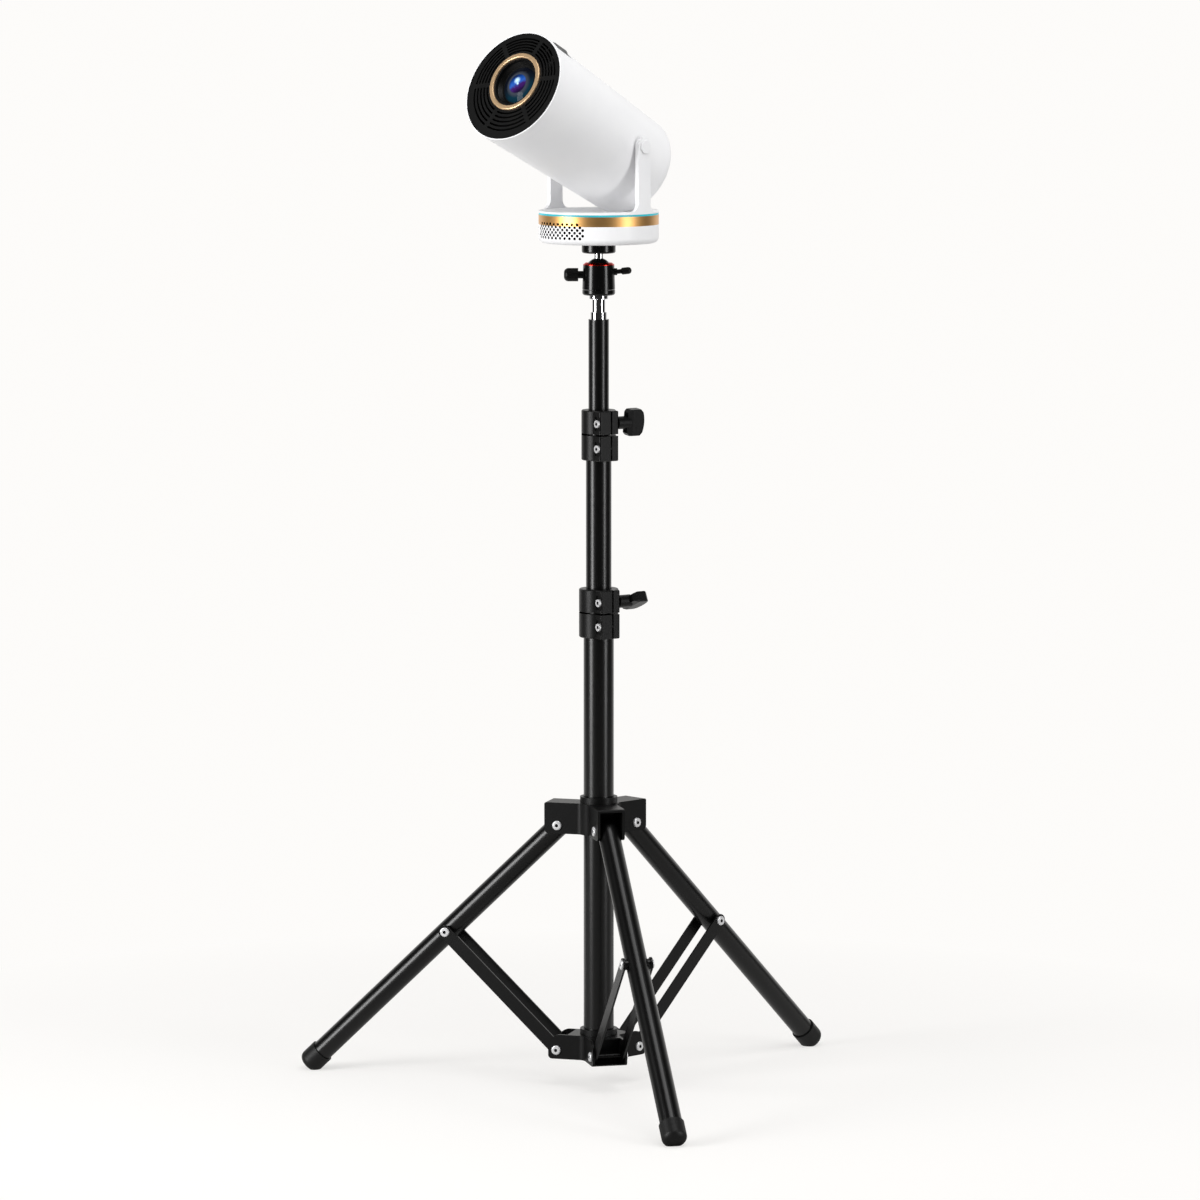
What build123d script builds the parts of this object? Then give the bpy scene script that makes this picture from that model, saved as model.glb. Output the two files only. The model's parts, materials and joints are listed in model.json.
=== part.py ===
"""Portable projector on a folding tripod stand, in millimetres.

The column stands on Z and the floor is z = 0. The camera of the photograph looks along +Y.
Everything is drawn around the column's axis and moved at the end, so that the origin lies
under the middle of the part's bounding box.
"""
import math
import os

from build123d import *

# Clearances
SEAT_GAP = 0.05          # radial gap of a piece that is pressed or screwed on another
RUN_GAP = 0.08           # radial gap of a pin or tube that turns or slides in its hole
SIDE_GAP = 0.4           # gap beside a part that swings between two ears
HUB_GAP = 0.3            # radial gap of the sliding leg hub on its tube

# Column tubes
BASE_TUBE_OD = 30.5
MIDDLE_TUBE_OD = 25.6
TOP_TUBE_OD = 20.5
TUBE_WALL = 1.2
MIDDLE_TUBE_INSIDE = 330.0   # length of the middle tube below the lower clamp's top
TOP_TUBE_INSIDE = 250.0      # length of the top tube below the upper clamp's top
PLUG_THICKNESS = 3.0

# Leg linkage: links of equal length keep the sliding hub level on the tube
FRONT_LEG_DIRECTION = -76.25 # degrees, seen from above
LEG_ANGLE = 46.0             # degrees from vertical, open
PIVOT_RADIUS = 39.8
LINK_LENGTH = 165.6
LOWER_PIVOT_Z = 38.4
LEG_OD = 22.0
LEG_REACH = 379.0            # upper pivot to the end of the foot cap
LEG_END_SOLID = 22.0
PIN_DIAMETER = 5.0
PIN_HEAD_DIAMETER = 9.6
PIN_HEAD_HEIGHT = 2.0
PIN_HEAD_ROUNDING = 1.2
BOSS_DIAMETER = 10.5
BOSS_HEIGHT = 2.0

# Foot caps
CAP_WALL = 1.5
CAP_LENGTH = 22.0
CAP_BOTTOM = 8.0
CAP_ROUNDING = 7.0
FOOT_FLAT = 2.18             # worn off the rounded rim where the cap stands

# Leg struts: a pair of flat bars to each leg
STRUT_WIDTH = 13.5
STRUT_THICKNESS = 2.0

# Sliding leg hub: three channels, open downward and outward
HUB_ABOVE = 23.3             # above the pivots
HUB_BELOW = 8.3
HUB_BODY_RADIUS = 20.5
HUB_ARM_REACH = 13.5         # beyond the pivots
HUB_EAR = 2.6
HUB_WEB = 3.0
HUB_CORNER_ROUNDING = 9.0    # between two arms
HUB_EAR_LOWER_ROUNDING = 4.5
HUB_EAR_UPPER_ROUNDING = 2.0
HUB_WALL = 1.5               # between the body and a channel
HUB_LIP_RADIUS = 18.9
HUB_LIP_HEIGHT = 6.5

# Lower hub: three troughs, open upward and outward
TROUGH_ABOVE = 16.0
TROUGH_REACH = 8.5
TROUGH_EAR = 2.4
TROUGH_WEB = 1.7
TROUGH_FLOOR_GAP = 0.55      # under the round ends of the struts
TROUGH_UPPER_ROUNDING = 13.0
TROUGH_LOWER_ROUNDING = 4.0
TROUGH_LIP_HEIGHT = 6.0
TROUGH_TOP_WEB_REACH = 6.5   # of the short web beside the body

# Clamps between the tubes
LOWER_CLAMP_BOTTOM = 460.6
LOWER_CLAMP_HEIGHT = 49.0
UPPER_CLAMP_BOTTOM = 639.6
UPPER_CLAMP_HEIGHT = 50.4
CLAMP_WALL = 4.6
CLAMP_CHAMFER = 0.8
CLAMP_TURN = 35.0            # degrees that the ears are turned from the front
CLAMP_SLIT = 1.8             # between the two collars, and between two ears
CLAMP_BACK = 6.0             # left uncut behind the slit
EAR_LEFT = -14.0             # ear block from its split to either side
EAR_RIGHT = 9.0
EAR_FRONT = 9.6              # beyond the outer tube's surface
EAR_ROUNDING = 1.6
BOLT_FROM_TUBE = 4.8         # clamp bolt's axis from the outer tube's surface
BOLT_DIAMETER = 5.0
BOLT_HEAD_DIAMETER = 7.6
BOLT_HEAD_HEIGHT = 2.4
BOLT_POCKET_HEIGHT = 14.0
BOLT_POCKET_DEPTH = 1.0

# Wing knobs
KNOB_NECK_DIAMETER = 13.0
KNOB_NECK_LENGTH = 11.5
KNOB_LENGTH = 18.0
KNOB_SPAN = 27.0
KNOB_THICKNESS = 11.0
KNOB_ROOT = 7.5              # thickness beside the neck
KNOB_SLOPE = 6.0             # length of the thickening
KNOB_CORNER = 3.0
KNOB_CROWN = 1.8             # bulge of the outer end
KNOB_EDGE = 1.2
LOWER_KNOB_TURN = 66.0       # degrees about the bolt
UPPER_KNOB_TURN = 7.0

# Lock knob at the back of the leg hub
LOCK_KNOB_DIAMETER = 22.0
LOCK_KNOB_LENGTH = 15.0
LOCK_KNOB_ROUNDING = 1.5
LOCK_KNOB_FLUTES = 8
LOCK_FLUTE_RADIUS = 2.4
LOCK_FLUTE_START = 3.0
LOCK_KNOB_SEAT = 2.0         # beyond the hub's body
LOCK_STUD_DIAMETER = 6.0

# Spigot on the top tube
TOP_TUBE_TOP = 780.9
SPIGOT_STEP_DIAMETER = 16.7
SPIGOT_STEP_HEIGHT = 7.2
STUD_DIAMETER = 13.4
STUD_HEIGHT = 13.0
SPIGOT_INSIDE = 20.0
NUT_DIAMETER = 19.5
NUT_HEIGHT = 4.0
NUT_CHAMFER = 0.6
HEAD_SCREW_DIAMETER = 6.0    # of the stud's end in the ball head
HEAD_SCREW_SHORT = 1.0       # left over below the end of its hole

# Ball head
HEAD_RADIUS = 16.5
PAN_BASE_HEIGHT = 5.4
PAN_BASE_ROUNDING = 2.4
PAN_SPINDLE_DIAMETER = 12.0
PAN_SPINDLE_HEIGHT = 2.6
PAN_SPINDLE_PLAY = 0.2       # above the spindle's end
PAN_GROOVE = 0.7
HOUSING_HEIGHT = 26.5
HOUSING_TOP_RADIUS = 15.6
RING_HEIGHT = 2.4
RING_EDGE = 0.6              # upright rim below the bevel
RING_TOP_RADIUS = 13.2
BALL_RADIUS = 14.0
BALL_DEPTH = 9.2             # ball centre below the lip
NOTCH_WIDTH = 11.0
NECK_DIAMETER = 9.0
NECK_INSIDE = 2.0            # of the neck, in the ball
NECK_TOP = 18.7              # plate's underside above the ball centre
PLATE_RADIUS = 17.0
PLATE_HEIGHT = 9.2
PLATE_ROUNDING = 2.0
PLATE_CHAMFER = 0.5
PAD_INSET = 1.0
PAD_HEIGHT = 1.3

# Ball lock knob and pan lever
BALL_KNOB_DIAMETER = 13.4
BALL_KNOB_LENGTH = 14.3
BALL_KNOB_ROUNDING = 4.5
BALL_KNOB_NECK = 4.0
BALL_KNOB_NECK_DIAMETER = 7.5
BALL_KNOB_DROP = 3.0         # below the ball centre
BALL_KNOB_FLUTES = 10
BALL_FLUTE_RADIUS = 1.0
BALL_FLUTE_OUTSIDE = 0.4     # flute's middle beyond the knob's surface
BALL_FLUTE_START = 3.5
BALL_FLUTE_END = 1.5
HOUSING_SEAT_DEPTH = 2.0     # of the knob's and lever's bores
HOUSING_SEAT_PLAY = 0.5
LEVER_BOSS_DIAMETER = 7.0
LEVER_BOSS_LENGTH = 2.0
LEVER_ROOT_DIAMETER = 4.6
LEVER_ROOT_LENGTH = 4.0
LEVER_GRIP_DIAMETER = 7.0
LEVER_GRIP_LENGTH = 10.5
LEVER_RISE = 6.0             # degrees that the lever points up

# Projector base
PROJECTOR_DIRECTION = -130.0 # degrees, of the barrel's front seen from above
BASE_SHELL_HEIGHT = 18.6
BASE_SHELL_WALL = 3.0
BASE_ROUNDING = 6.0
BAND_HEIGHT = 9.7
LIGHT_HEIGHT = 2.0
LIGHT_INSET = 0.3
DECK_HEIGHT = 2.2
DECK_ROUNDING = 1.0
DISH_WALL = 2.0
DISH_CLEARANCE = 5.0         # round the barrel's back when it swings through
BASE_FEET = 4
BASE_FEET_INSET = 14.0       # from the base's edge
BASE_FOOT_DIAMETER = 7.0
BASE_FOOT_HEIGHT = 0.8

# Yoke
PIVOT_HEIGHT = 64.6          # above the deck
ARM_WIDTH = 18.5
ARM_THICKNESS = 5.0
ARM_CLEARANCE = 2.2          # between the barrel and an arm
ARM_FLARE = 9.0
TRUNNION_DIAMETER = 8.0
PIVOT_CAP_DIAMETER = 14.0
PIVOT_CAP_HEIGHT = 1.6
PIVOT_CAP_ROUNDING = 0.8

# Barrel, along its own +X from the pivot
BARREL_TILT = 25.5           # degrees above level
BARREL_FRONT = 144.5
BARREL_BACK = 61.5
BARREL_FRONT_RADIUS = 57.6
BARREL_BACK_RADIUS = 51.0
BARREL_WALL = 2.5
BARREL_BACK_ROUNDING = 13.0
RIM_WIDTH = 1.2              # of the shell round the grille
RIM_ROUNDING = 0.5
YOKE_GAP = 0.7               # beside the trunnion bosses
BOSS_ROOT = 1.5              # of a trunnion boss, inside the barrel's skin
BEZEL_RECESS = 0.8
BEZEL_THICKNESS = 4.0
SLOT_RINGS = 5
SLOT_WIDTH = 1.9
SLOT_FIRST_OUTSIDE = 3.6     # inner slot's middle beyond the lens ring
SLOT_LAST_INSET = 7.6        # outer slot's middle from the grille's edge
SLOT_LAST_RISE = 2.0         # outer slot's centre above the barrel's axis
SPOKES = 6
SPOKE_WIDTH = 4.6
SPOKE_TURN = 37.0            # degrees of the first spoke from the top
LENS_RISE = 4.8              # lens axis above the barrel's axis
LENS_RING_RADIUS = 30.2
LENS_RING_WIDTH = 4.6
LENS_RING_PROUD = 1.8
LENS_RING_ROUNDING = 1.0
LENS_TUBE_DEPTH = 10.0
LENS_TUBE_WALL = 2.0
LENS_RADIUS = 19.0
LENS_BULGE = 5.0
ENGINE_RADIUS = 24.0
ENGINE_LENGTH = 90.0
REAR_PANEL_BORDER = 4.0      # flat rim of the barrel round the panel
REAR_PANEL_LEDGE = 2.0
REAR_LEDGE_DEPTH = 1.2
REAR_PANEL_SUNK = 0.4
REAR_PANEL_THICKNESS = 4.0
REAR_SLOTS = 7
REAR_SLOT_WIDTH = 2.4
REAR_SLOT_PITCH = 5.0
REAR_SLOT_BORDER = 4.0
PORT_LINE = -16.0            # height of the row of sockets from the barrel's axis
PORT_HEIGHT = 5.5
PORT_DEPTH = 2.5
PORT_PLACES = {-12.0: 13.5, 3.0: 6.5}    # widths of the flat sockets by their place
JACK_PLACE = 14.0
JACK_DIAMETER = 6.4

# Focus wheel in its pocket
FOCUS_ANGLE = 30.0           # degrees from the barrel's top, toward the near arm
FOCUS_FROM_FRONT = 18.0
FOCUS_SLOT_LENGTH = 24.0
FOCUS_SLOT_WIDTH = 20.0
POCKET_WALL = 1.6
POCKET_SUNK = 1.5            # pocket's rim below the barrel's surface
WHEEL_RADIUS = 10.0
WHEEL_PROUD = 1.4
WHEEL_CLEARANCE = 0.8        # below the wheel
WHEEL_LENGTH = 17.0
WHEEL_RIBS = 24
WHEEL_GROOVE_RADIUS = 0.8
WHEEL_GROOVE_OUTSIDE = 0.2   # groove's middle beyond the wheel's surface
WHEEL_AXLE_DIAMETER = 4.0

# Places that follow from the sizes above
UPPER_PIVOT_Z = LOWER_PIVOT_Z + 2 * LINK_LENGTH * math.cos(math.radians(LEG_ANGLE))
KNEE_RADIUS = PIVOT_RADIUS + LINK_LENGTH * math.sin(math.radians(LEG_ANGLE))
KNEE_Z = LOWER_PIVOT_Z + LINK_LENGTH * math.cos(math.radians(LEG_ANGLE))
CAP_OUTSIDE = LEG_OD / 2 + SEAT_GAP + CAP_WALL
FLOOR_Z = (
    UPPER_PIVOT_Z
    - (LEG_REACH - CAP_ROUNDING) * math.cos(math.radians(LEG_ANGLE))
    - (CAP_OUTSIDE - CAP_ROUNDING) * math.sin(math.radians(LEG_ANGLE))
    - CAP_ROUNDING
    + FOOT_FLAT
)
LEG_NAMES = ["front", "right", "left"]
LEG_DIRECTIONS = [FRONT_LEG_DIRECTION + 120.0 * turn for turn in range(3)]
HUB_EAR_INSIDE = LEG_OD / 2 + SIDE_GAP
HUB_EAR_OUTSIDE = HUB_EAR_INSIDE + HUB_EAR
STRUT_INSIDE = LEG_OD / 2 + BOSS_HEIGHT + RUN_GAP
STRUT_OUTSIDE = STRUT_INSIDE + STRUT_THICKNESS
TROUGH_EAR_INSIDE = STRUT_OUTSIDE + SIDE_GAP
TROUGH_EAR_OUTSIDE = TROUGH_EAR_INSIDE + TROUGH_EAR
TROUGH_BELOW = STRUT_WIDTH / 2 + TROUGH_FLOOR_GAP + TROUGH_WEB
COLUMN_BOTTOM = LOWER_PIVOT_Z - TROUGH_BELOW
LOWER_CLAMP_TOP = LOWER_CLAMP_BOTTOM + LOWER_CLAMP_HEIGHT
UPPER_CLAMP_TOP = UPPER_CLAMP_BOTTOM + UPPER_CLAMP_HEIGHT
PAN_BASE_BOTTOM = TOP_TUBE_TOP + SPIGOT_STEP_HEIGHT + STUD_HEIGHT + NUT_HEIGHT
HOUSING_BOTTOM = PAN_BASE_BOTTOM + PAN_BASE_HEIGHT + PAN_GROOVE
HOUSING_TOP = HOUSING_BOTTOM + HOUSING_HEIGHT
BALL_Z = HOUSING_TOP - BALL_DEPTH
PLATE_BOTTOM = BALL_Z + NECK_TOP
BASE_BOTTOM = PLATE_BOTTOM + PLATE_HEIGHT + PAD_HEIGHT
BAND_BOTTOM = BASE_BOTTOM + BASE_SHELL_HEIGHT
LIGHT_BOTTOM = BAND_BOTTOM + BAND_HEIGHT
DECK_BOTTOM = LIGHT_BOTTOM + LIGHT_HEIGHT
DECK_TOP = DECK_BOTTOM + DECK_HEIGHT
PIVOT_Z = DECK_TOP + PIVOT_HEIGHT
BARREL_LENGTH = BARREL_FRONT + BARREL_BACK
BARREL_TAPER = (BARREL_FRONT_RADIUS - BARREL_BACK_RADIUS) / BARREL_LENGTH
ARM_INSIDE = BARREL_BACK_RADIUS + BARREL_TAPER * BARREL_BACK + ARM_CLEARANCE
BASE_RADIUS = ARM_INSIDE + ARM_THICKNESS
BACK_CORNER = math.hypot(BARREL_BACK - BARREL_BACK_ROUNDING, BARREL_BACK_RADIUS - BARREL_BACK_ROUNDING)
DISH_RADIUS = BACK_CORNER + BARREL_BACK_ROUNDING + DISH_CLEARANCE
BEZEL_RADIUS = BARREL_FRONT_RADIUS - RIM_WIDTH
BEZEL_FRONT = BARREL_FRONT - BEZEL_RECESS
REAR_PANEL_RADIUS = BARREL_BACK_RADIUS - BARREL_BACK_ROUNDING - REAR_PANEL_BORDER
POCKET_DEPTH = 2 * WHEEL_RADIUS - WHEEL_PROUD + WHEEL_CLEARANCE + POCKET_WALL
HOUSING_SLOPE = (HEAD_RADIUS - HOUSING_TOP_RADIUS) / HOUSING_HEIGHT
RING_BOTTOM = HOUSING_TOP - RING_HEIGHT
RING_RADIUS = HEAD_RADIUS - HOUSING_SLOPE * (HOUSING_HEIGHT - RING_HEIGHT)

UPRIGHT = (Align.CENTER, Align.CENTER, Align.MIN)


def rod(radius, bottom, top):
    """Upright cylinder between two heights."""
    return Pos(0, 0, bottom) * Cylinder(radius, top - bottom, align=UPRIGHT)


def pipe(outer, bore, bottom, top):
    """Upright tube from its two diameters."""
    return rod(outer / 2, bottom, top) - rod(bore / 2, bottom - 1, top + 1)


def block(x_range, y_range, z_range):
    """Box from its three ranges."""
    sizes = [high - low for low, high in (x_range, y_range, z_range)]
    middle = [(high + low) / 2 for low, high in (x_range, y_range, z_range)]
    return Pos(*middle) * Box(*sizes)


def cross_rod(radius, start, end, x, z):
    """Cylinder along Y between two places, at a given x and z."""
    return Pos(x, start, z) * Rot(-90, 0, 0) * Cylinder(radius, end - start, align=UPRIGHT)


def side_rod(radius, start, end, y, z):
    """Cylinder along X between two places, at a given y and z."""
    return Pos(start, y, z) * Rot(0, 90, 0) * Cylinder(radius, end - start, align=UPRIGHT)


def turned(points):
    """Solid of revolution about Z from (radius, height) points."""
    outline = Polyline(*[(radius, 0, height) for radius, height in points], close=True)
    return revolve(make_face(outline), Axis.Z)


def around(shape, direction):
    """Shape turned about the column's axis from +X to a direction in degrees."""
    return Rot(0, 0, direction) * shape


def pin_across(half_width, x, z):
    """Pivot pin along Y with a domed head on either end."""
    pin = cross_rod(PIN_DIAMETER / 2, -half_width, half_width, x, z)
    for side in (-1, 1):
        seat, crown = sorted((side * half_width, side * (half_width + PIN_HEAD_HEIGHT)))
        head = cross_rod(PIN_HEAD_DIAMETER / 2, seat, crown, x, z)
        rim = head.edges().filter_by(GeomType.CIRCLE).sort_by(Axis.Y)[0 if side < 0 else -1]
        pin += fillet(rim, PIN_HEAD_ROUNDING)
    return pin


# Leg linkage


def leg_tube():
    """Hollow leg from its rounded top to the floor, drawn in the plane of +X and Z."""
    radius = LEG_OD / 2
    bore = radius - TUBE_WALL
    end = -(LEG_REACH - CAP_BOTTOM)
    leg = rod(radius, end, 0) + Sphere(radius)
    leg -= rod(bore, end - 1, -LEG_END_SOLID)
    for side in (-1, 1):
        near, far = sorted((side * bore, side * (radius + BOSS_HEIGHT)))
        leg += cross_rod(BOSS_DIAMETER / 2, near, far, 0, -LINK_LENGTH)
    hole = PIN_DIAMETER / 2 + RUN_GAP
    leg -= cross_rod(hole, -LEG_OD, LEG_OD, 0, 0)
    leg -= cross_rod(hole, -LEG_OD, LEG_OD, 0, -LINK_LENGTH)
    return Pos(PIVOT_RADIUS, 0, UPPER_PIVOT_Z) * Rot(0, -LEG_ANGLE, 0) * leg


def foot_cap():
    """Rubber cup on the leg's end, cut flat where it stands on the floor."""
    top = -(LEG_REACH - CAP_LENGTH)
    seat = -(LEG_REACH - CAP_BOTTOM)
    cap = rod(CAP_OUTSIDE, -LEG_REACH, top)
    cap = fillet(cap.edges().filter_by(GeomType.CIRCLE).sort_by(Axis.Z)[0], CAP_ROUNDING)
    cap -= rod(LEG_OD / 2 + SEAT_GAP, seat, top + 1)
    placed = Pos(PIVOT_RADIUS, 0, UPPER_PIVOT_Z) * Rot(0, -LEG_ANGLE, 0) * cap
    reach = PIVOT_RADIUS + 2 * LEG_REACH
    return placed - block((0, reach), (-2 * CAP_OUTSIDE, 2 * CAP_OUTSIDE), (FLOOR_Z - reach, FLOOR_Z))


def strut_pair():
    """Two flat bars from the lower hub to the leg, outside the leg's bosses."""
    bars = []
    for side in (-1, 1):
        near, far = sorted((side * STRUT_INSIDE, side * STRUT_OUTSIDE))
        bar = block((-STRUT_WIDTH / 2, STRUT_WIDTH / 2), (near, far), (0, LINK_LENGTH))
        for height in (0, LINK_LENGTH):
            bar += cross_rod(STRUT_WIDTH / 2, near, far, 0, height)
        for height in (0, LINK_LENGTH):
            bar -= cross_rod(PIN_DIAMETER / 2 + RUN_GAP, near - 1, far + 1, 0, height)
        bars.append(Pos(PIVOT_RADIUS, 0, LOWER_PIVOT_Z) * Rot(0, LEG_ANGLE, 0) * bar)
    return Compound(children=bars)


def three_arms(arm):
    """The same arm toward each leg."""
    arms = around(arm, LEG_DIRECTIONS[0])
    for direction in LEG_DIRECTIONS[1:]:
        arms += around(arm, direction)
    return arms


def inner_corners(body):
    """Upright edges of a hub where two arms meet."""
    return [
        edge
        for edge in body.edges().filter_by(Axis.Z)
        if math.hypot(edge.center().X, edge.center().Y) < PIVOT_RADIUS
    ]


def end_edges(bar):
    """Lower and upper edge across the outer end of a hub's arm."""
    return bar.edges().filter_by(Axis.Y).group_by(Axis.X)[-1].sort_by(Axis.Z)


def leg_hub():
    """Sliding hub with a lip round the tube and a channel for each leg's top."""
    bottom = UPPER_PIVOT_Z - HUB_BELOW
    top = UPPER_PIVOT_Z + HUB_ABOVE
    reach = PIVOT_RADIUS + HUB_ARM_REACH
    bar = block((0, reach), (-HUB_EAR_OUTSIDE, HUB_EAR_OUTSIDE), (bottom, top))
    bar = fillet(end_edges(bar)[0], HUB_EAR_LOWER_ROUNDING)
    bar = fillet(end_edges(bar)[-1], HUB_EAR_UPPER_ROUNDING)
    body = three_arms(bar) + rod(HUB_BODY_RADIUS, bottom, top)
    body = fillet(inner_corners(body), HUB_CORNER_ROUNDING)
    channel = block(
        (HUB_BODY_RADIUS + HUB_WALL, reach + 1),
        (-HUB_EAR_INSIDE, HUB_EAR_INSIDE),
        (bottom - 1, top - HUB_WEB),
    )
    hole = cross_rod(PIN_DIAMETER / 2 + SEAT_GAP, -LEG_OD, LEG_OD, PIVOT_RADIUS, UPPER_PIVOT_Z)
    body -= three_arms(channel)
    body -= three_arms(hole)
    body += rod(HUB_LIP_RADIUS, top, top + HUB_LIP_HEIGHT)
    body -= rod(BASE_TUBE_OD / 2 + HUB_GAP, bottom - 1, top + HUB_LIP_HEIGHT + 1)
    stud = side_rod(LOCK_STUD_DIAMETER / 2 + RUN_GAP, 0, reach, 0, (bottom + top) / 2)
    return body - around(stud, FRONT_LEG_DIRECTION + 180)


def leg_pins():
    """Pins of the three legs in the sliding hub."""
    pin = pin_across(HUB_EAR_OUTSIDE, PIVOT_RADIUS, UPPER_PIVOT_Z)
    return Compound(children=[around(pin, direction) for direction in LEG_DIRECTIONS])


def lock_knob():
    """Fluted knob whose stud clamps the sliding hub on the tube."""
    seat = HUB_BODY_RADIUS + LOCK_KNOB_SEAT
    end = seat + LOCK_KNOB_LENGTH
    radius = LOCK_KNOB_DIAMETER / 2
    z = UPPER_PIVOT_Z + (HUB_ABOVE - HUB_BELOW) / 2
    knob = side_rod(radius, seat, end, 0, 0)
    knob = fillet(knob.edges().filter_by(GeomType.CIRCLE), LOCK_KNOB_ROUNDING)
    flute = side_rod(LOCK_FLUTE_RADIUS, seat + LOCK_FLUTE_START, end + 1, 0, radius + 1)
    for turn in range(LOCK_KNOB_FLUTES):
        knob -= Rot(360.0 * turn / LOCK_KNOB_FLUTES, 0, 0) * flute
    knob += side_rod(LOCK_STUD_DIAMETER / 2, BASE_TUBE_OD / 2 + HUB_GAP, seat + 1, 0, 0)
    return around(Pos(0, 0, z) * knob, FRONT_LEG_DIRECTION + 180)


def lower_hub():
    """Fixed hub with a trough for each pair of struts."""
    bottom = COLUMN_BOTTOM
    top = LOWER_PIVOT_Z + TROUGH_ABOVE
    reach = PIVOT_RADIUS + TROUGH_REACH
    bar = block((0, reach), (-TROUGH_EAR_OUTSIDE, TROUGH_EAR_OUTSIDE), (bottom, top))
    bar = fillet(end_edges(bar)[-1], TROUGH_UPPER_ROUNDING)
    bar = fillet(end_edges(bar)[0], TROUGH_LOWER_ROUNDING)
    body = three_arms(bar) + rod(HUB_BODY_RADIUS, bottom, top)
    body = fillet(inner_corners(body), HUB_CORNER_ROUNDING)
    inside = HUB_BODY_RADIUS + HUB_WALL
    sides = (-TROUGH_EAR_INSIDE, TROUGH_EAR_INSIDE)
    trough = block((inside, reach + 1), sides, (bottom + TROUGH_WEB, top - TROUGH_WEB))
    mouth = block((inside + TROUGH_TOP_WEB_REACH, reach + 1), sides, (bottom + TROUGH_WEB, top + 1))
    hole = cross_rod(PIN_DIAMETER / 2 + SEAT_GAP, -2 * LEG_OD, 2 * LEG_OD, PIVOT_RADIUS, LOWER_PIVOT_Z)
    body -= three_arms(trough + mouth)
    body -= three_arms(hole)
    body += rod(HUB_LIP_RADIUS, top, top + TROUGH_LIP_HEIGHT)
    return body - rod(BASE_TUBE_OD / 2 + SEAT_GAP, bottom - 1, top + TROUGH_LIP_HEIGHT + 1)


def strut_pins():
    """Pins of the three pairs of struts in the lower hub."""
    pin = pin_across(TROUGH_EAR_OUTSIDE, PIVOT_RADIUS, LOWER_PIVOT_Z)
    return Compound(children=[around(pin, direction) for direction in LEG_DIRECTIONS])


# Column


def column_plug():
    """Plug in the bottom end of the base tube."""
    bore = BASE_TUBE_OD / 2 - TUBE_WALL - SEAT_GAP
    return rod(bore, COLUMN_BOTTOM, COLUMN_BOTTOM + PLUG_THICKNESS)


def to_clamp(shape):
    """Shape drawn with its ears toward the front, turned as the clamps are."""
    return around(shape, CLAMP_TURN)


def clamp(outer_od, inner_od, bottom, height):
    """Two stacked collars with split ears: the lower grips the outer tube, the upper the inner."""
    top = bottom + height
    middle = bottom + height / 2
    radius = outer_od / 2 + CLAMP_WALL
    front = -(outer_od / 2 + EAR_FRONT)
    bolt_y = -(outer_od / 2 + BOLT_FROM_TUBE)
    ears = block((EAR_LEFT, EAR_RIGHT), (front, 0), (bottom, top))
    ears = fillet(ears.edges().filter_by(Axis.Z).group_by(Axis.Y)[0], EAR_ROUNDING)
    body = rod(radius, bottom, top) + ears
    rims = body.edges().group_by(Axis.Z)
    body = chamfer(list(rims[0]) + list(rims[-1]), CLAMP_CHAMFER)
    body -= rod(outer_od / 2 + SEAT_GAP, bottom - 1, middle)
    body -= rod(inner_od / 2 + RUN_GAP, middle - 1, top + 1)
    half_slit = CLAMP_SLIT / 2
    slit_back = radius - CLAMP_BACK
    body -= block((-radius - 1, radius + 1), (front - 1, slit_back), (middle, middle + CLAMP_SLIT))
    body -= block((-half_slit, half_slit), (front - 1, 0), (bottom - 1, top + 1))
    pocket_half = BOLT_HEAD_DIAMETER / 2 + SIDE_GAP
    for z in collar_heights(bottom, height):
        body -= side_rod(BOLT_DIAMETER / 2 + RUN_GAP, EAR_LEFT - 1, EAR_RIGHT + 1, bolt_y, z)
        body -= block(
            (EAR_LEFT - 1, EAR_LEFT + BOLT_POCKET_DEPTH),
            (bolt_y - pocket_half, bolt_y + pocket_half),
            (z - BOLT_POCKET_HEIGHT / 2, z + BOLT_POCKET_HEIGHT / 2),
        )
    seat = collar_heights(bottom, height)[1]
    body -= side_rod(KNOB_NECK_DIAMETER / 2 + SIDE_GAP, EAR_RIGHT, 2 * radius, bolt_y, seat)
    return to_clamp(body)


def collar_heights(bottom, height):
    """Middle heights of a clamp's lower and upper collar."""
    collar = height / 2
    return [bottom + collar / 2, bottom + collar + collar / 2]


def clamp_bolts(outer_od, bottom, height):
    """Bolt of the lower collar, and the nut on the end of the wing knob's stud."""
    bolt_y = -(outer_od / 2 + BOLT_FROM_TUBE)
    lower, upper = collar_heights(bottom, height)
    seat = EAR_LEFT + BOLT_POCKET_DEPTH
    crown = seat - BOLT_HEAD_HEIGHT
    bolt = side_rod(BOLT_DIAMETER / 2, seat - 1, EAR_RIGHT, bolt_y, lower)
    bolt += side_rod(BOLT_HEAD_DIAMETER / 2, crown, seat, bolt_y, lower)
    nut = side_rod(BOLT_HEAD_DIAMETER / 2, crown, seat, bolt_y, upper)
    nut -= side_rod(BOLT_DIAMETER / 2 + RUN_GAP, seat - BOLT_HEAD_HEIGHT / 2, seat + 1, bolt_y, upper)
    return Compound(children=[to_clamp(bolt), to_clamp(nut)])


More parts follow.
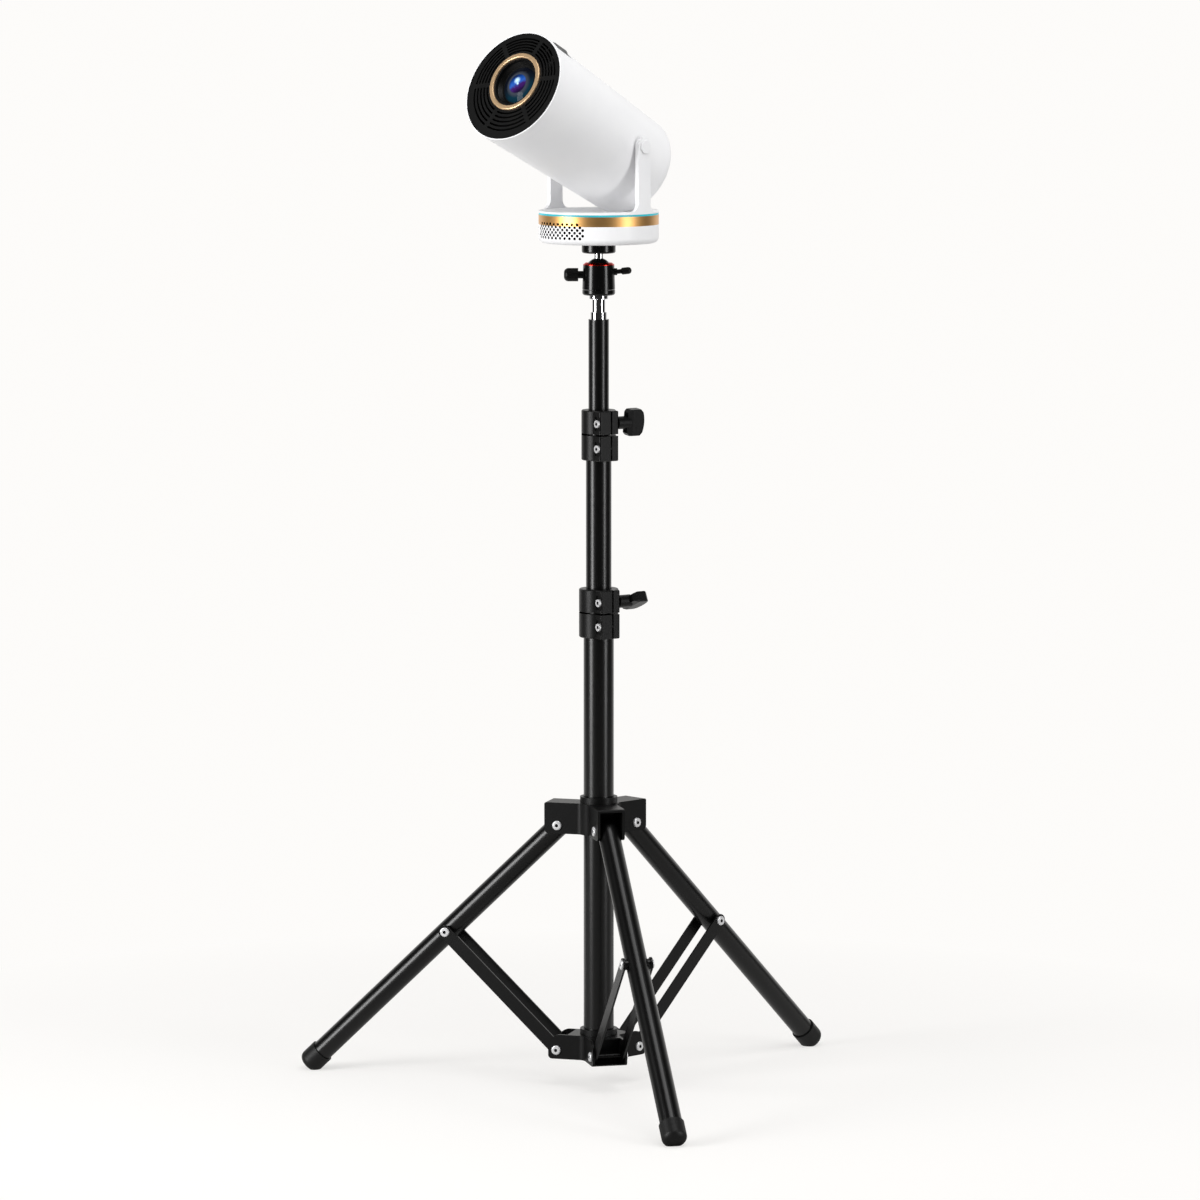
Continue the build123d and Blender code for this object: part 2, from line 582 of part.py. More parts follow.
def wing(start, end):
    """Flat grip of a wing knob along X, thin beside the neck, with a bulging outer end."""
    half_span = KNOB_SPAN / 2
    corner = end - KNOB_CORNER
    side_view = make_face([
        Polyline(
            (end, half_span - KNOB_CORNER),
            (corner, half_span),
            (start + KNOB_CORNER, half_span),
            (start, half_span - KNOB_CORNER),
            (start, -half_span + KNOB_CORNER),
            (start + KNOB_CORNER, -half_span),
            (corner, -half_span),
            (end, -half_span + KNOB_CORNER),
        ),
        ThreePointArc(
            (end, -half_span + KNOB_CORNER), (end + KNOB_CROWN, 0), (end, half_span - KNOB_CORNER)
        ),
    ])
    half = KNOB_THICKNESS / 2
    past = end + 2 * KNOB_CROWN
    top_view = make_face(Polyline(
        (start, KNOB_ROOT / 2),
        (start + KNOB_SLOPE, half),
        (past, half),
        (past, -half),
        (start + KNOB_SLOPE, -half),
        (start, -KNOB_ROOT / 2),
        close=True,
    ))
    flat = Rot(90, 0, 0) * extrude(side_view, KNOB_THICKNESS, both=True)
    grip = flat & extrude(top_view, KNOB_SPAN, both=True)
    rims = [edge for edge in grip.edges() if abs(edge.center().Y) > half - KNOB_EDGE / 2]
    return fillet(rims, KNOB_EDGE)


def wing_knob(outer_od, bottom, height, turn):
    """Wing knob with its stud, which pulls the upper collar's ears together."""
    bolt_y = -(outer_od / 2 + BOLT_FROM_TUBE)
    upper = collar_heights(bottom, height)[1]
    seat = EAR_RIGHT + RUN_GAP
    start = seat + KNOB_NECK_LENGTH
    knob = wing(start, start + KNOB_LENGTH)
    knob += side_rod(KNOB_NECK_DIAMETER / 2, seat, start + KNOB_CORNER, 0, 0)
    stud_end = EAR_LEFT + BOLT_POCKET_DEPTH - BOLT_HEAD_HEIGHT / 2 + SIDE_GAP
    knob += side_rod(BOLT_DIAMETER / 2, stud_end, start, 0, 0)
    return to_clamp(Pos(0, bolt_y, upper) * Rot(turn, 0, 0) * knob)


def spigot():
    """Stepped metal stud that plugs the top tube and carries the ball head."""
    step = TOP_TUBE_TOP + SPIGOT_STEP_HEIGHT
    top = PAN_BASE_BOTTOM + PAN_BASE_HEIGHT - HEAD_SCREW_SHORT
    body = rod(TOP_TUBE_OD / 2 - TUBE_WALL - SEAT_GAP, TOP_TUBE_TOP - SPIGOT_INSIDE, TOP_TUBE_TOP)
    body += rod(SPIGOT_STEP_DIAMETER / 2, TOP_TUBE_TOP, step)
    body += rod(STUD_DIAMETER / 2, step, step + STUD_HEIGHT)
    return body + rod(HEAD_SCREW_DIAMETER / 2, step + STUD_HEIGHT, top)


def spigot_nut():
    """Flat lock nut between the stud and the ball head."""
    bottom = PAN_BASE_BOTTOM - NUT_HEIGHT
    nut = rod(NUT_DIAMETER / 2, bottom, PAN_BASE_BOTTOM)
    nut = chamfer(nut.edges().filter_by(GeomType.CIRCLE), NUT_CHAMFER)
    return nut - rod(HEAD_SCREW_DIAMETER / 2 + SEAT_GAP, bottom - 1, PAN_BASE_BOTTOM + 1)


# Ball head


def pan_base():
    """Rounded base of the ball head with the spindle that the housing turns on."""
    top = PAN_BASE_BOTTOM + PAN_BASE_HEIGHT
    base = rod(HEAD_RADIUS, PAN_BASE_BOTTOM, top)
    base = fillet(base.edges().filter_by(GeomType.CIRCLE).sort_by(Axis.Z)[0], PAN_BASE_ROUNDING)
    base += rod(PAN_SPINDLE_DIAMETER / 2, top, top + PAN_GROOVE + PAN_SPINDLE_HEIGHT)
    return base - rod(HEAD_SCREW_DIAMETER / 2 + SEAT_GAP, PAN_BASE_BOTTOM - 1, top - HEAD_SCREW_SHORT)


def notch():
    """Slot at the back of the housing that takes the neck when the head lies down."""
    back = 2 * HEAD_RADIUS
    cut = block((-NOTCH_WIDTH / 2, NOTCH_WIDTH / 2), (0, back), (BALL_Z, HOUSING_TOP + 1))
    return cut + cross_rod(NOTCH_WIDTH / 2, 0, back, 0, BALL_Z)


def head_housing():
    """Cup round the ball, with the notch and the bores of its knob and lever."""
    body = turned([
        (0, HOUSING_BOTTOM),
        (HEAD_RADIUS, HOUSING_BOTTOM),
        (RING_RADIUS, RING_BOTTOM),
        (0, RING_BOTTOM),
    ])
    body -= Pos(0, 0, BALL_Z) * Sphere(BALL_RADIUS + RUN_GAP)
    body -= notch()
    spindle_end = HOUSING_BOTTOM + PAN_SPINDLE_HEIGHT + PAN_SPINDLE_PLAY
    body -= rod(PAN_SPINDLE_DIAMETER / 2 + RUN_GAP, HOUSING_BOTTOM - 1, spindle_end)
    outside = 2 * HEAD_RADIUS
    seat = HEAD_RADIUS - HOUSING_SEAT_DEPTH
    body -= side_rod(BALL_KNOB_NECK_DIAMETER / 2 + RUN_GAP, -outside, -seat, 0, BALL_Z - BALL_KNOB_DROP)
    return body - side_rod(LEVER_BOSS_DIAMETER / 2 + RUN_GAP, seat, outside, 0, BALL_Z)


def head_ring():
    """Bevelled ring that closes the housing over the ball."""
    body = turned([
        (0, RING_BOTTOM),
        (RING_RADIUS, RING_BOTTOM),
        (HOUSING_TOP_RADIUS, RING_BOTTOM + RING_EDGE),
        (RING_TOP_RADIUS, HOUSING_TOP),
        (0, HOUSING_TOP),
    ])
    body -= Pos(0, 0, BALL_Z) * Sphere(BALL_RADIUS + RUN_GAP)
    return body - notch()


def ball_stem():
    """Ball and the neck that screws into the plate."""
    shoulder = math.sqrt(BALL_RADIUS ** 2 - (NECK_DIAMETER / 2) ** 2)
    neck = rod(NECK_DIAMETER / 2, BALL_Z + shoulder - NECK_INSIDE, PLATE_BOTTOM)
    return neck + Pos(0, 0, BALL_Z) * Sphere(BALL_RADIUS)


def head_plate():
    """Round plate under the projector."""
    top = PLATE_BOTTOM + PLATE_HEIGHT
    plate = rod(PLATE_RADIUS, PLATE_BOTTOM, top)
    edges = plate.edges().filter_by(GeomType.CIRCLE).sort_by(Axis.Z)
    plate = fillet(edges[0], PLATE_ROUNDING)
    return chamfer(plate.edges().group_by(Axis.Z)[-1], PLATE_CHAMFER)


def plate_pad():
    """Rubber pad on the plate."""
    bottom = PLATE_BOTTOM + PLATE_HEIGHT
    return rod(PLATE_RADIUS - PAD_INSET, bottom, bottom + PAD_HEIGHT)


def ball_knob():
    """Fluted lock knob on the housing's left."""
    inner = -(HEAD_RADIUS + BALL_KNOB_NECK)
    outer = inner - BALL_KNOB_LENGTH
    radius = BALL_KNOB_DIAMETER / 2
    grip = side_rod(radius, outer, inner, 0, 0)
    rims = grip.edges().filter_by(GeomType.CIRCLE).sort_by(Axis.X)
    grip = fillet(rims[0], BALL_KNOB_ROUNDING)
    flute = side_rod(
        BALL_FLUTE_RADIUS, outer + BALL_FLUTE_START, inner - BALL_FLUTE_END, 0, radius + BALL_FLUTE_OUTSIDE
    )
    for turn in range(BALL_KNOB_FLUTES):
        grip -= Rot(360.0 * turn / BALL_KNOB_FLUTES, 0, 0) * flute
    seat = -HEAD_RADIUS + HOUSING_SEAT_DEPTH - HOUSING_SEAT_PLAY
    grip += side_rod(BALL_KNOB_NECK_DIAMETER / 2, inner, seat, 0, 0)
    return Pos(0, 0, BALL_Z - BALL_KNOB_DROP) * grip


def pan_lever():
    """Small lever on the housing's right: a thin root with a fuller, rounded grip."""
    seat = HEAD_RADIUS - HOUSING_SEAT_DEPTH + HOUSING_SEAT_PLAY
    boss_end = HEAD_RADIUS + LEVER_BOSS_LENGTH
    boss = side_rod(LEVER_BOSS_DIAMETER / 2, seat, boss_end, 0, 0)
    grip = side_rod(LEVER_GRIP_DIAMETER / 2, LEVER_ROOT_LENGTH, LEVER_ROOT_LENGTH + LEVER_GRIP_LENGTH, 0, 0)
    rims = grip.edges().filter_by(GeomType.CIRCLE).sort_by(Axis.X)
    grip = fillet(rims[-1], LEVER_GRIP_DIAMETER / 2 - RUN_GAP)
    inner_rim = grip.edges().filter_by(GeomType.CIRCLE).sort_by(Axis.X)[0]
    grip = chamfer(inner_rim, (LEVER_GRIP_DIAMETER - LEVER_ROOT_DIAMETER) / 2 - RUN_GAP)
    root = side_rod(LEVER_ROOT_DIAMETER / 2, -1, LEVER_ROOT_LENGTH + 1, 0, 0)
    arm = Pos(boss_end, 0, 0) * Rot(0, -LEVER_RISE, 0) * (grip + root)
    return Pos(0, 0, BALL_Z) * (boss + arm)


# Projector base and yoke, drawn with the barrel's front toward +X


def to_projector(shape):
    """Shape of the base turned to the projector's direction."""
    return around(shape, PROJECTOR_DIRECTION)


def base_shell():
    """Lower cup of the projector's base."""
    shell = rod(BASE_RADIUS, BASE_BOTTOM, BAND_BOTTOM)
    shell = fillet(shell.edges().filter_by(GeomType.CIRCLE).sort_by(Axis.Z)[0], BASE_ROUNDING)
    inside = BASE_RADIUS - BASE_SHELL_WALL
    hollow = rod(inside, BASE_BOTTOM + BASE_SHELL_WALL, BAND_BOTTOM + 1)
    low = hollow.edges().filter_by(GeomType.CIRCLE).sort_by(Axis.Z)[0]
    return to_projector(shell - fillet(low, BASE_ROUNDING - BASE_SHELL_WALL))


def base_band():
    """Metal band round the base."""
    inside = BASE_RADIUS - BASE_SHELL_WALL
    return pipe(2 * BASE_RADIUS, 2 * inside, BAND_BOTTOM, LIGHT_BOTTOM)


def base_light():
    """Light ring between band and deck, set in a little."""
    inside = BASE_RADIUS - BASE_SHELL_WALL
    return pipe(2 * (BASE_RADIUS - LIGHT_INSET), 2 * inside, LIGHT_BOTTOM, DECK_BOTTOM)


def dish(radius):
    """Ball round the barrel's pivot, in which the barrel's back swings."""
    return Pos(0, 0, PIVOT_Z) * Sphere(radius)


def yoke():
    """Deck of the base, dished under the barrel, with both arms that carry it."""
    deck = rod(BASE_RADIUS, DECK_BOTTOM, DECK_TOP)
    deck = fillet(deck.edges().filter_by(GeomType.CIRCLE).sort_by(Axis.Z)[-1], DECK_ROUNDING)
    deck += dish(DISH_RADIUS + DISH_WALL) & rod(BASE_RADIUS - BASE_SHELL_WALL - 1, BASE_BOTTOM, DECK_TOP)
    deck -= dish(DISH_RADIUS)
    half = ARM_WIDTH / 2
    spread = half + ARM_FLARE
    bottom = DECK_BOTTOM + DECK_HEIGHT / 2
    for side in (-1, 1):
        near, far = sorted((side * ARM_INSIDE, side * (BASE_RADIUS + 1)))
        arm = block((-half, half), (near, far), (bottom, PIVOT_Z))
        arm += cross_rod(half, near, far, 0, PIVOT_Z)
        foot = block((-spread, spread), (near, far), (bottom, DECK_TOP + ARM_FLARE))
        for edge in (-1, 1):
            foot -= cross_rod(ARM_FLARE, near - 1, far + 1, edge * spread, DECK_TOP + ARM_FLARE)
        deck += (arm + foot) & rod(BASE_RADIUS, DECK_BOTTOM, PIVOT_Z + ARM_WIDTH)
        deck -= cross_rod(TRUNNION_DIAMETER / 2 + RUN_GAP, near - 1, far + 1, 0, PIVOT_Z)
    return to_projector(deck)


def pivot_caps():
    """Round caps over the trunnions, outside the arms."""
    caps = []
    for side in (-1, 1):
        near, far = sorted((side * BASE_RADIUS, side * (BASE_RADIUS + PIVOT_CAP_HEIGHT)))
        cap = cross_rod(PIVOT_CAP_DIAMETER / 2, near, far, 0, PIVOT_Z)
        rim = cap.edges().filter_by(GeomType.CIRCLE).sort_by(Axis.Y)[0 if side < 0 else -1]
        caps.append(to_projector(fillet(rim, PIVOT_CAP_ROUNDING)))
    return Compound(children=caps)


def base_feet():
    """Small rubber feet under the base."""
    feet = []
    foot = rod(BASE_FOOT_DIAMETER / 2, BASE_BOTTOM - BASE_FOOT_HEIGHT, BASE_BOTTOM)
    for turn in range(BASE_FEET):
        placed = Pos(BASE_RADIUS - BASE_FEET_INSET, 0, 0) * foot
        feet.append(to_projector(around(placed, 360.0 * (turn + 0.5) / BASE_FEET)))
    return Compound(children=feet)


# Barrel, drawn along +X with the pivot at the origin


def to_barrel(shape):
    """Shape of the barrel tilted up, turned and moved to the pivot."""
    return Pos(0, 0, PIVOT_Z) * Rot(0, 0, PROJECTOR_DIRECTION) * Rot(0, -BARREL_TILT, 0) * shape


def along_x(shape):
    """Shape drawn along Z, laid along X."""
    return Rot(0, 90, 0) * shape


def barrel_radius(x):
    """Outer radius of the barrel at a place along it."""
    return BARREL_BACK_RADIUS + BARREL_TAPER * (x + BARREL_BACK)


def barrel_shell():
    """Tapered hollow shell with a rounded back, a thin rim in front and trunnions at its sides."""
    outer = turned([
        (0, -BARREL_BACK),
        (BARREL_BACK_RADIUS, -BARREL_BACK),
        (BARREL_FRONT_RADIUS, BARREL_FRONT),
        (0, BARREL_FRONT),
    ])
    outer = fillet(outer.edges().filter_by(GeomType.CIRCLE).sort_by(Axis.Z)[0], BARREL_BACK_ROUNDING)
    outer = fillet(outer.edges().filter_by(GeomType.CIRCLE).sort_by(Axis.Z)[-1], RIM_ROUNDING)
    inner = turned([
        (0, -BARREL_BACK + BARREL_WALL),
        (BARREL_BACK_RADIUS - BARREL_WALL, -BARREL_BACK + BARREL_WALL),
        (BARREL_FRONT_RADIUS - BARREL_WALL, BARREL_FRONT + 1),
        (0, BARREL_FRONT + 1),
    ])
    low = inner.edges().filter_by(GeomType.CIRCLE).sort_by(Axis.Z)[0]
    inner = fillet(low, BARREL_BACK_ROUNDING - BARREL_WALL)
    shell = along_x(outer)
    boss_end = ARM_INSIDE - YOKE_GAP
    for side in (-1, 1):
        near, far = sorted((side * (barrel_radius(0) - BOSS_ROOT), side * boss_end))
        shell += cross_rod(PIVOT_CAP_DIAMETER / 2, near, far, 0, 0)
        near, far = sorted((side * boss_end, side * (BASE_RADIUS - RUN_GAP)))
        shell += cross_rod(TRUNNION_DIAMETER / 2, near, far, 0, 0)
    shell -= along_x(inner)
    shell -= along_x(rod(BEZEL_RADIUS + SEAT_GAP, BEZEL_FRONT - BEZEL_THICKNESS, BARREL_FRONT + 1))
    shell -= along_x(rod(REAR_PANEL_RADIUS - REAR_PANEL_LEDGE, -BARREL_BACK - 1, 0))
    shell -= along_x(rod(REAR_PANEL_RADIUS, -BARREL_BACK - 1, -BARREL_BACK + REAR_LEDGE_DEPTH))
    shell -= focus_slot()
    return to_barrel(shell)


def at_focus(shape):
    """Shape drawn at the barrel's surface, moved to the focus wheel's place."""
    x = BARREL_FRONT - FOCUS_FROM_FRONT
    return Rot(-FOCUS_ANGLE, 0, 0) * Pos(x, 0, barrel_radius(x)) * shape


def focus_slot():
    """Straight cutter through the barrel's wall at the focus wheel."""
    length = FOCUS_SLOT_LENGTH / 2
    width = FOCUS_SLOT_WIDTH / 2
    return at_focus(block((-length, length), (-width, width), (-POCKET_DEPTH, POCKET_DEPTH)))


def focus_pocket():
    """Dark pocket under the slot, with bearings for the wheel's axle."""
    length = FOCUS_SLOT_LENGTH / 2 - SEAT_GAP
    width = FOCUS_SLOT_WIDTH / 2 - SEAT_GAP
    box = block((-length, length), (-width, width), (-POCKET_DEPTH, -POCKET_SUNK))
    inside = block(
        (-length + POCKET_WALL, length - POCKET_WALL),
        (-width - 1, width + 1),
        (-POCKET_DEPTH + POCKET_WALL, 0),
    )
    axle_z = WHEEL_PROUD - WHEEL_RADIUS
    axle = side_rod(WHEEL_AXLE_DIAMETER / 2 + RUN_GAP, -length - 1, length + 1, 0, axle_z)
    return to_barrel(at_focus(box - inside - axle))


def focus_wheel():
    """Ribbed wheel on its axle, a little proud of the barrel."""
    half = WHEEL_LENGTH / 2
    wheel = side_rod(WHEEL_RADIUS, -half, half, 0, 0)
    groove = side_rod(WHEEL_GROOVE_RADIUS, -half - 1, half + 1, 0, WHEEL_RADIUS + WHEEL_GROOVE_OUTSIDE)
    for turn in range(WHEEL_RIBS):
        wheel -= Rot(360.0 * turn / WHEEL_RIBS, 0, 0) * groove
    axle = FOCUS_SLOT_LENGTH / 2 - SEAT_GAP
    wheel += side_rod(WHEEL_AXLE_DIAMETER / 2, -axle, axle, 0, 0)
    return to_barrel(at_focus(Pos(0, 0, WHEEL_PROUD - WHEEL_RADIUS) * wheel))


def to_lens(shape):
    """Shape of the lens drawn along Z, laid on the lens axis of the barrel."""
    return to_barrel(Pos(0, 0, LENS_RISE) * along_x(shape))


def front_bezel():
    """Black grille: rings of slots between spokes, which shift from the lens's axis to the barrel's."""
    back = BEZEL_FRONT - BEZEL_THICKNESS
    bezel = along_x(rod(BEZEL_RADIUS, back, BEZEL_FRONT))
    bar = block((back - 1, BEZEL_FRONT + 1), (-SPOKE_WIDTH / 2, SPOKE_WIDTH / 2), (0, 2 * BEZEL_RADIUS))
    spokes = [
        Pos(0, 0, LENS_RISE) * Rot(SPOKE_TURN + 360.0 * turn / SPOKES, 0, 0) * bar
        for turn in range(SPOKES)
    ]
    first = LENS_RING_RADIUS + SLOT_FIRST_OUTSIDE
    last = BEZEL_RADIUS - SLOT_LAST_INSET
    for ring in range(SLOT_RINGS):
        share = ring / max(SLOT_RINGS - 1, 1)
        middle = first + (last - first) * share
        rise = LENS_RISE + (SLOT_LAST_RISE - LENS_RISE) * share
        slot = along_x(pipe(2 * middle + SLOT_WIDTH, 2 * middle - SLOT_WIDTH, back - 1, BEZEL_FRONT + 1))
        slot = Pos(0, 0, rise) * slot
        for spoke in spokes:
            slot -= spoke
        bezel -= slot
    opening = along_x(rod(LENS_RING_RADIUS - LENS_RING_WIDTH, back - 1, BEZEL_FRONT + 1))
    return to_barrel(bezel - Pos(0, 0, LENS_RISE) * opening)


def lens_ring():
    """Rounded metal ring round the lens opening."""
    inside = LENS_RING_RADIUS - LENS_RING_WIDTH
    ring = pipe(2 * LENS_RING_RADIUS, 2 * inside, BEZEL_FRONT, BEZEL_FRONT + LENS_RING_PROUD)
    edges = ring.edges().filter_by(GeomType.CIRCLE).group_by(Axis.Z)[-1]
    return to_lens(fillet(edges, LENS_RING_ROUNDING))


def lens_tube():
    """Dark funnel behind the ring that leads to the lens."""
    mouth = LENS_RING_RADIUS - LENS_RING_WIDTH - SEAT_GAP
    neck = BEZEL_FRONT - BEZEL_THICKNESS
    back = BEZEL_FRONT - LENS_TUBE_DEPTH
    throat = LENS_RADIUS + LENS_TUBE_WALL
    return to_lens(turned([
        (mouth, BEZEL_FRONT),
        (mouth, neck),
        (throat + LENS_TUBE_WALL, back),
        (LENS_RADIUS + SEAT_GAP, back),
        (LENS_RADIUS + SEAT_GAP, back + LENS_TUBE_WALL),
        (throat, back + LENS_TUBE_WALL),
        (mouth - LENS_TUBE_WALL, neck),
        (mouth - LENS_TUBE_WALL, BEZEL_FRONT),
    ]))


def lens():
    """Domed front lens at the end of the funnel."""
    back = BEZEL_FRONT - LENS_TUBE_DEPTH
    curve = (LENS_RADIUS ** 2 + LENS_BULGE ** 2) / (2 * LENS_BULGE)
    edge = back + LENS_TUBE_WALL
    dome = Pos(0, 0, edge + LENS_BULGE - curve) * Sphere(curve)
    glass = rod(LENS_RADIUS, back, edge) + (dome & rod(LENS_RADIUS, edge, edge + LENS_BULGE + 1))
    return to_lens(glass)


def light_engine():
    """Block of optics behind the lens, seen only through the grilles."""
    front = BEZEL_FRONT - LENS_TUBE_DEPTH - SEAT_GAP
    return to_lens(rod(ENGINE_RADIUS, front - ENGINE_LENGTH, front))


def rear_panel():
    """Rear cover with air slots and a row of sockets below them."""
    outer = -BARREL_BACK + REAR_PANEL_SUNK
    lip = -BARREL_BACK + REAR_LEDGE_DEPTH
    inner_radius = REAR_PANEL_RADIUS - REAR_PANEL_LEDGE - SEAT_GAP
    panel = rod(REAR_PANEL_RADIUS - SEAT_GAP, outer, lip)
    panel = along_x(panel + rod(inner_radius, lip, outer + REAR_PANEL_THICKNESS))
    reach = inner_radius - REAR_SLOT_BORDER
    for row in range(REAR_SLOTS):
        z = reach - REAR_SLOT_BORDER - row * REAR_SLOT_PITCH
        half = math.sqrt(reach ** 2 - z ** 2)
        panel -= block((outer - 1, 0), (-half, half), (z - REAR_SLOT_WIDTH / 2, z + REAR_SLOT_WIDTH / 2))
    sockets = (outer - 1, outer + PORT_DEPTH)
    heights = (PORT_LINE - PORT_HEIGHT / 2, PORT_LINE + PORT_HEIGHT / 2)
    for place, width in PORT_PLACES.items():
        panel -= block(sockets, (place - width / 2, place + width / 2), heights)
    panel -= side_rod(JACK_DIAMETER / 2, *sockets, JACK_PLACE, PORT_LINE)
    return to_barrel(panel)


# All nodes


def all_nodes():
    """Every piece under its node name, around the column's axis."""
    lower = (BASE_TUBE_OD, MIDDLE_TUBE_OD, LOWER_CLAMP_BOTTOM, LOWER_CLAMP_HEIGHT)
    upper = (MIDDLE_TUBE_OD, TOP_TUBE_OD, UPPER_CLAMP_BOTTOM, UPPER_CLAMP_HEIGHT)
    base_top = LOWER_CLAMP_BOTTOM + LOWER_CLAMP_HEIGHT / 2
    middle_top = UPPER_CLAMP_BOTTOM + UPPER_CLAMP_HEIGHT / 2
    middle_bottom = LOWER_CLAMP_TOP - MIDDLE_TUBE_INSIDE
    top_bottom = UPPER_CLAMP_TOP - TOP_TUBE_INSIDE
    nodes = {
        "base_tube": pipe(BASE_TUBE_OD, BASE_TUBE_OD - 2 * TUBE_WALL, COLUMN_BOTTOM, base_top),
        "column_plug": column_plug(),
        "lower_hub": lower_hub(),
        "strut_pins": strut_pins(),
        "lower_clamp": clamp(*lower),
        "lower_clamp_bolts": clamp_bolts(lower[0], lower[2], lower[3]),
        "lower_clamp_knob": wing_knob(lower[0], lower[2], lower[3], LOWER_KNOB_TURN),
        "middle_tube": pipe(MIDDLE_TUBE_OD, MIDDLE_TUBE_OD - 2 * TUBE_WALL, middle_bottom, middle_top),
        "upper_clamp": clamp(*upper),
        "upper_clamp_bolts": clamp_bolts(upper[0], upper[2], upper[3]),
        "upper_clamp_knob": wing_knob(upper[0], upper[2], upper[3], UPPER_KNOB_TURN),
        "top_tube": pipe(TOP_TUBE_OD, TOP_TUBE_OD - 2 * TUBE_WALL, top_bottom, TOP_TUBE_TOP),
        "spigot": spigot(),
        "spigot_nut": spigot_nut(),
        "pan_base": pan_base(),
        "head_housing": head_housing(),
        "head_ring": head_ring(),
        "ball_knob": ball_knob(),
        "pan_lever": pan_lever(),
        "ball_stem": ball_stem(),
        "head_plate": head_plate(),
        "plate_pad": plate_pad(),
        "projector_base": base_shell(),
        "base_band": base_band(),
        "base_light": base_light(),
        "base_feet": base_feet(),
        "yoke": yoke(),
        "pivot_caps": pivot_caps(),
        "barrel_shell": barrel_shell(),
        "front_bezel": front_bezel(),
        "lens_ring": lens_ring(),
        "lens_tube": lens_tube(),
        "lens": lens(),
        "light_engine": light_engine(),
        "rear_panel": rear_panel(),
        "focus_pocket": focus_pocket(),
        "focus_wheel": focus_wheel(),
        "leg_hub": leg_hub(),
        "leg_pins": leg_pins(),
        "hub_lock_knob": lock_knob(),
    }
    knee_pin = pin_across(STRUT_OUTSIDE, KNEE_RADIUS, KNEE_Z)
    for name, direction in zip(LEG_NAMES, LEG_DIRECTIONS):
        nodes[f"leg_{name}"] = around(leg_tube(), direction)
        nodes[f"foot_{name}"] = around(foot_cap(), direction)
        nodes[f"strut_{name}"] = around(strut_pair(), direction)
        nodes[f"knee_pin_{name}"] = around(knee_pin, direction)
    return nodes


def centred(nodes):
    """Nodes moved together so that the origin is under the middle of their bounding box."""
    boxes = [shape.bounding_box() for shape in nodes.values()]
    x = (min(box.min.X for box in boxes) + max(box.max.X for box in boxes)) / 2
    y = (min(box.min.Y for box in boxes) + max(box.max.Y for box in boxes)) / 2
    z = min(box.min.Z for box in boxes)
    return {name: Pos(-x, -y, -z) * shape for name, shape in nodes.items()}


def main():
    os.makedirs("parts", exist_ok=True)
    for name, shape in centred(all_nodes()).items():
        export_step(shape, f"parts/{name}.step")


main()
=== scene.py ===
"""Looks of a portable projector on a folding tripod stand, in metres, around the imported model."""
import json
import math

import bmesh
import bpy
from mathutils import Matrix, Vector

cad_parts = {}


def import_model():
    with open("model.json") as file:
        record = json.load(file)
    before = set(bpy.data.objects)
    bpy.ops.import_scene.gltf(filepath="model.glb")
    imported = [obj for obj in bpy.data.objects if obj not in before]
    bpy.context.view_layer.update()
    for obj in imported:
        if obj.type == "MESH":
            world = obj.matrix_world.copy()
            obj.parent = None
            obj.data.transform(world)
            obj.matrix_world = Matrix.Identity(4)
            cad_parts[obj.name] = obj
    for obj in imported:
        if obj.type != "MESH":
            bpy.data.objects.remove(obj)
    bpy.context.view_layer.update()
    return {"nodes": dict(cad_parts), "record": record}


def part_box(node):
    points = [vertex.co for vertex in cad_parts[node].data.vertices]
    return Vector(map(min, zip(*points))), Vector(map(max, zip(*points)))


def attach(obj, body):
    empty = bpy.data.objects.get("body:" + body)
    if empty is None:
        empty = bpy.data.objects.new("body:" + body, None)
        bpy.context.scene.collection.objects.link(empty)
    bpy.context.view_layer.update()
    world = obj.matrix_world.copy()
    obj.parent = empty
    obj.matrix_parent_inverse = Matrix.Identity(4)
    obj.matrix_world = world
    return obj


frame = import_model()
NODES = frame["nodes"]
MM = 0.001
ORIGIN = Vector((0.0, 0.0, 0.0))
BACKWARD = Vector((0.0, 1.0, 0.0))
UPWARD = Vector((0.0, 0.0, 1.0))

# Camera, measured from the column's foot
CAMERA_RIGHT = 0.0013
CAMERA_BACK = 6.0
CAMERA_HEIGHT = 1.2082
CAMERA_PITCH = 6.765         # degrees below level
CAMERA_DEPTH = 200.0         # how far it sees
FOCAL_LENGTH_MM = 180.0
SENSOR_MM = 36.0

# Lamps: tall soft boxes beside the camera, and a large one overhead
BOX_DISTANCE = 2.3           # from the column
BOX_HEIGHT = 0.85
BOX_AIM_HEIGHT = 0.75
BOX_LENGTH = 1.7
SIDE_BOXES = (               # name, degrees round the column from the camera, width and watts
    ("left_box", -60.0, 0.7, 46.0),
    ("right_box", 56.0, 0.5, 20.0),
)
TOP_BOX_PLACE = (0.5, -0.8, 2.9)
TOP_BOX_AIM = (0.0, 0.0, 0.8)
TOP_BOX_SIZE = (1.6, 1.6)
TOP_BOX_POWER = 25.0

# Backdrop
BACKGROUND = (0.982, 0.970, 0.953)
AMBIENT = 0.46
DARK_ROOM = 0.025            # what polished surfaces see beside the lamps
BACKDROP_EDGE = (0.35, 0.8)  # how far a direction points back where the dark room turns into the backdrop

# Floor
FLOOR_COLOUR = (0.34, 0.335, 0.33)
FLOOR_RADIUS = 2.0
FLOOR_SIDES = 96
FLOOR_DROP = 0.0002
FLOOR_GLOW = 0.60            # share of the floor's brightness that a shadow leaves
FLOOR_FADE = (0.45, 0.95)    # radii between which the shadow fades into the backdrop
FLOOR_BACK = (-0.1, 0.5)     # where polished surfaces see the floor turn as pale as the backdrop

# Smooth shading
SHARP_ANGLE = 32.0
WELD = 0.001 * MM            # joins the split corners of a node before it is cut

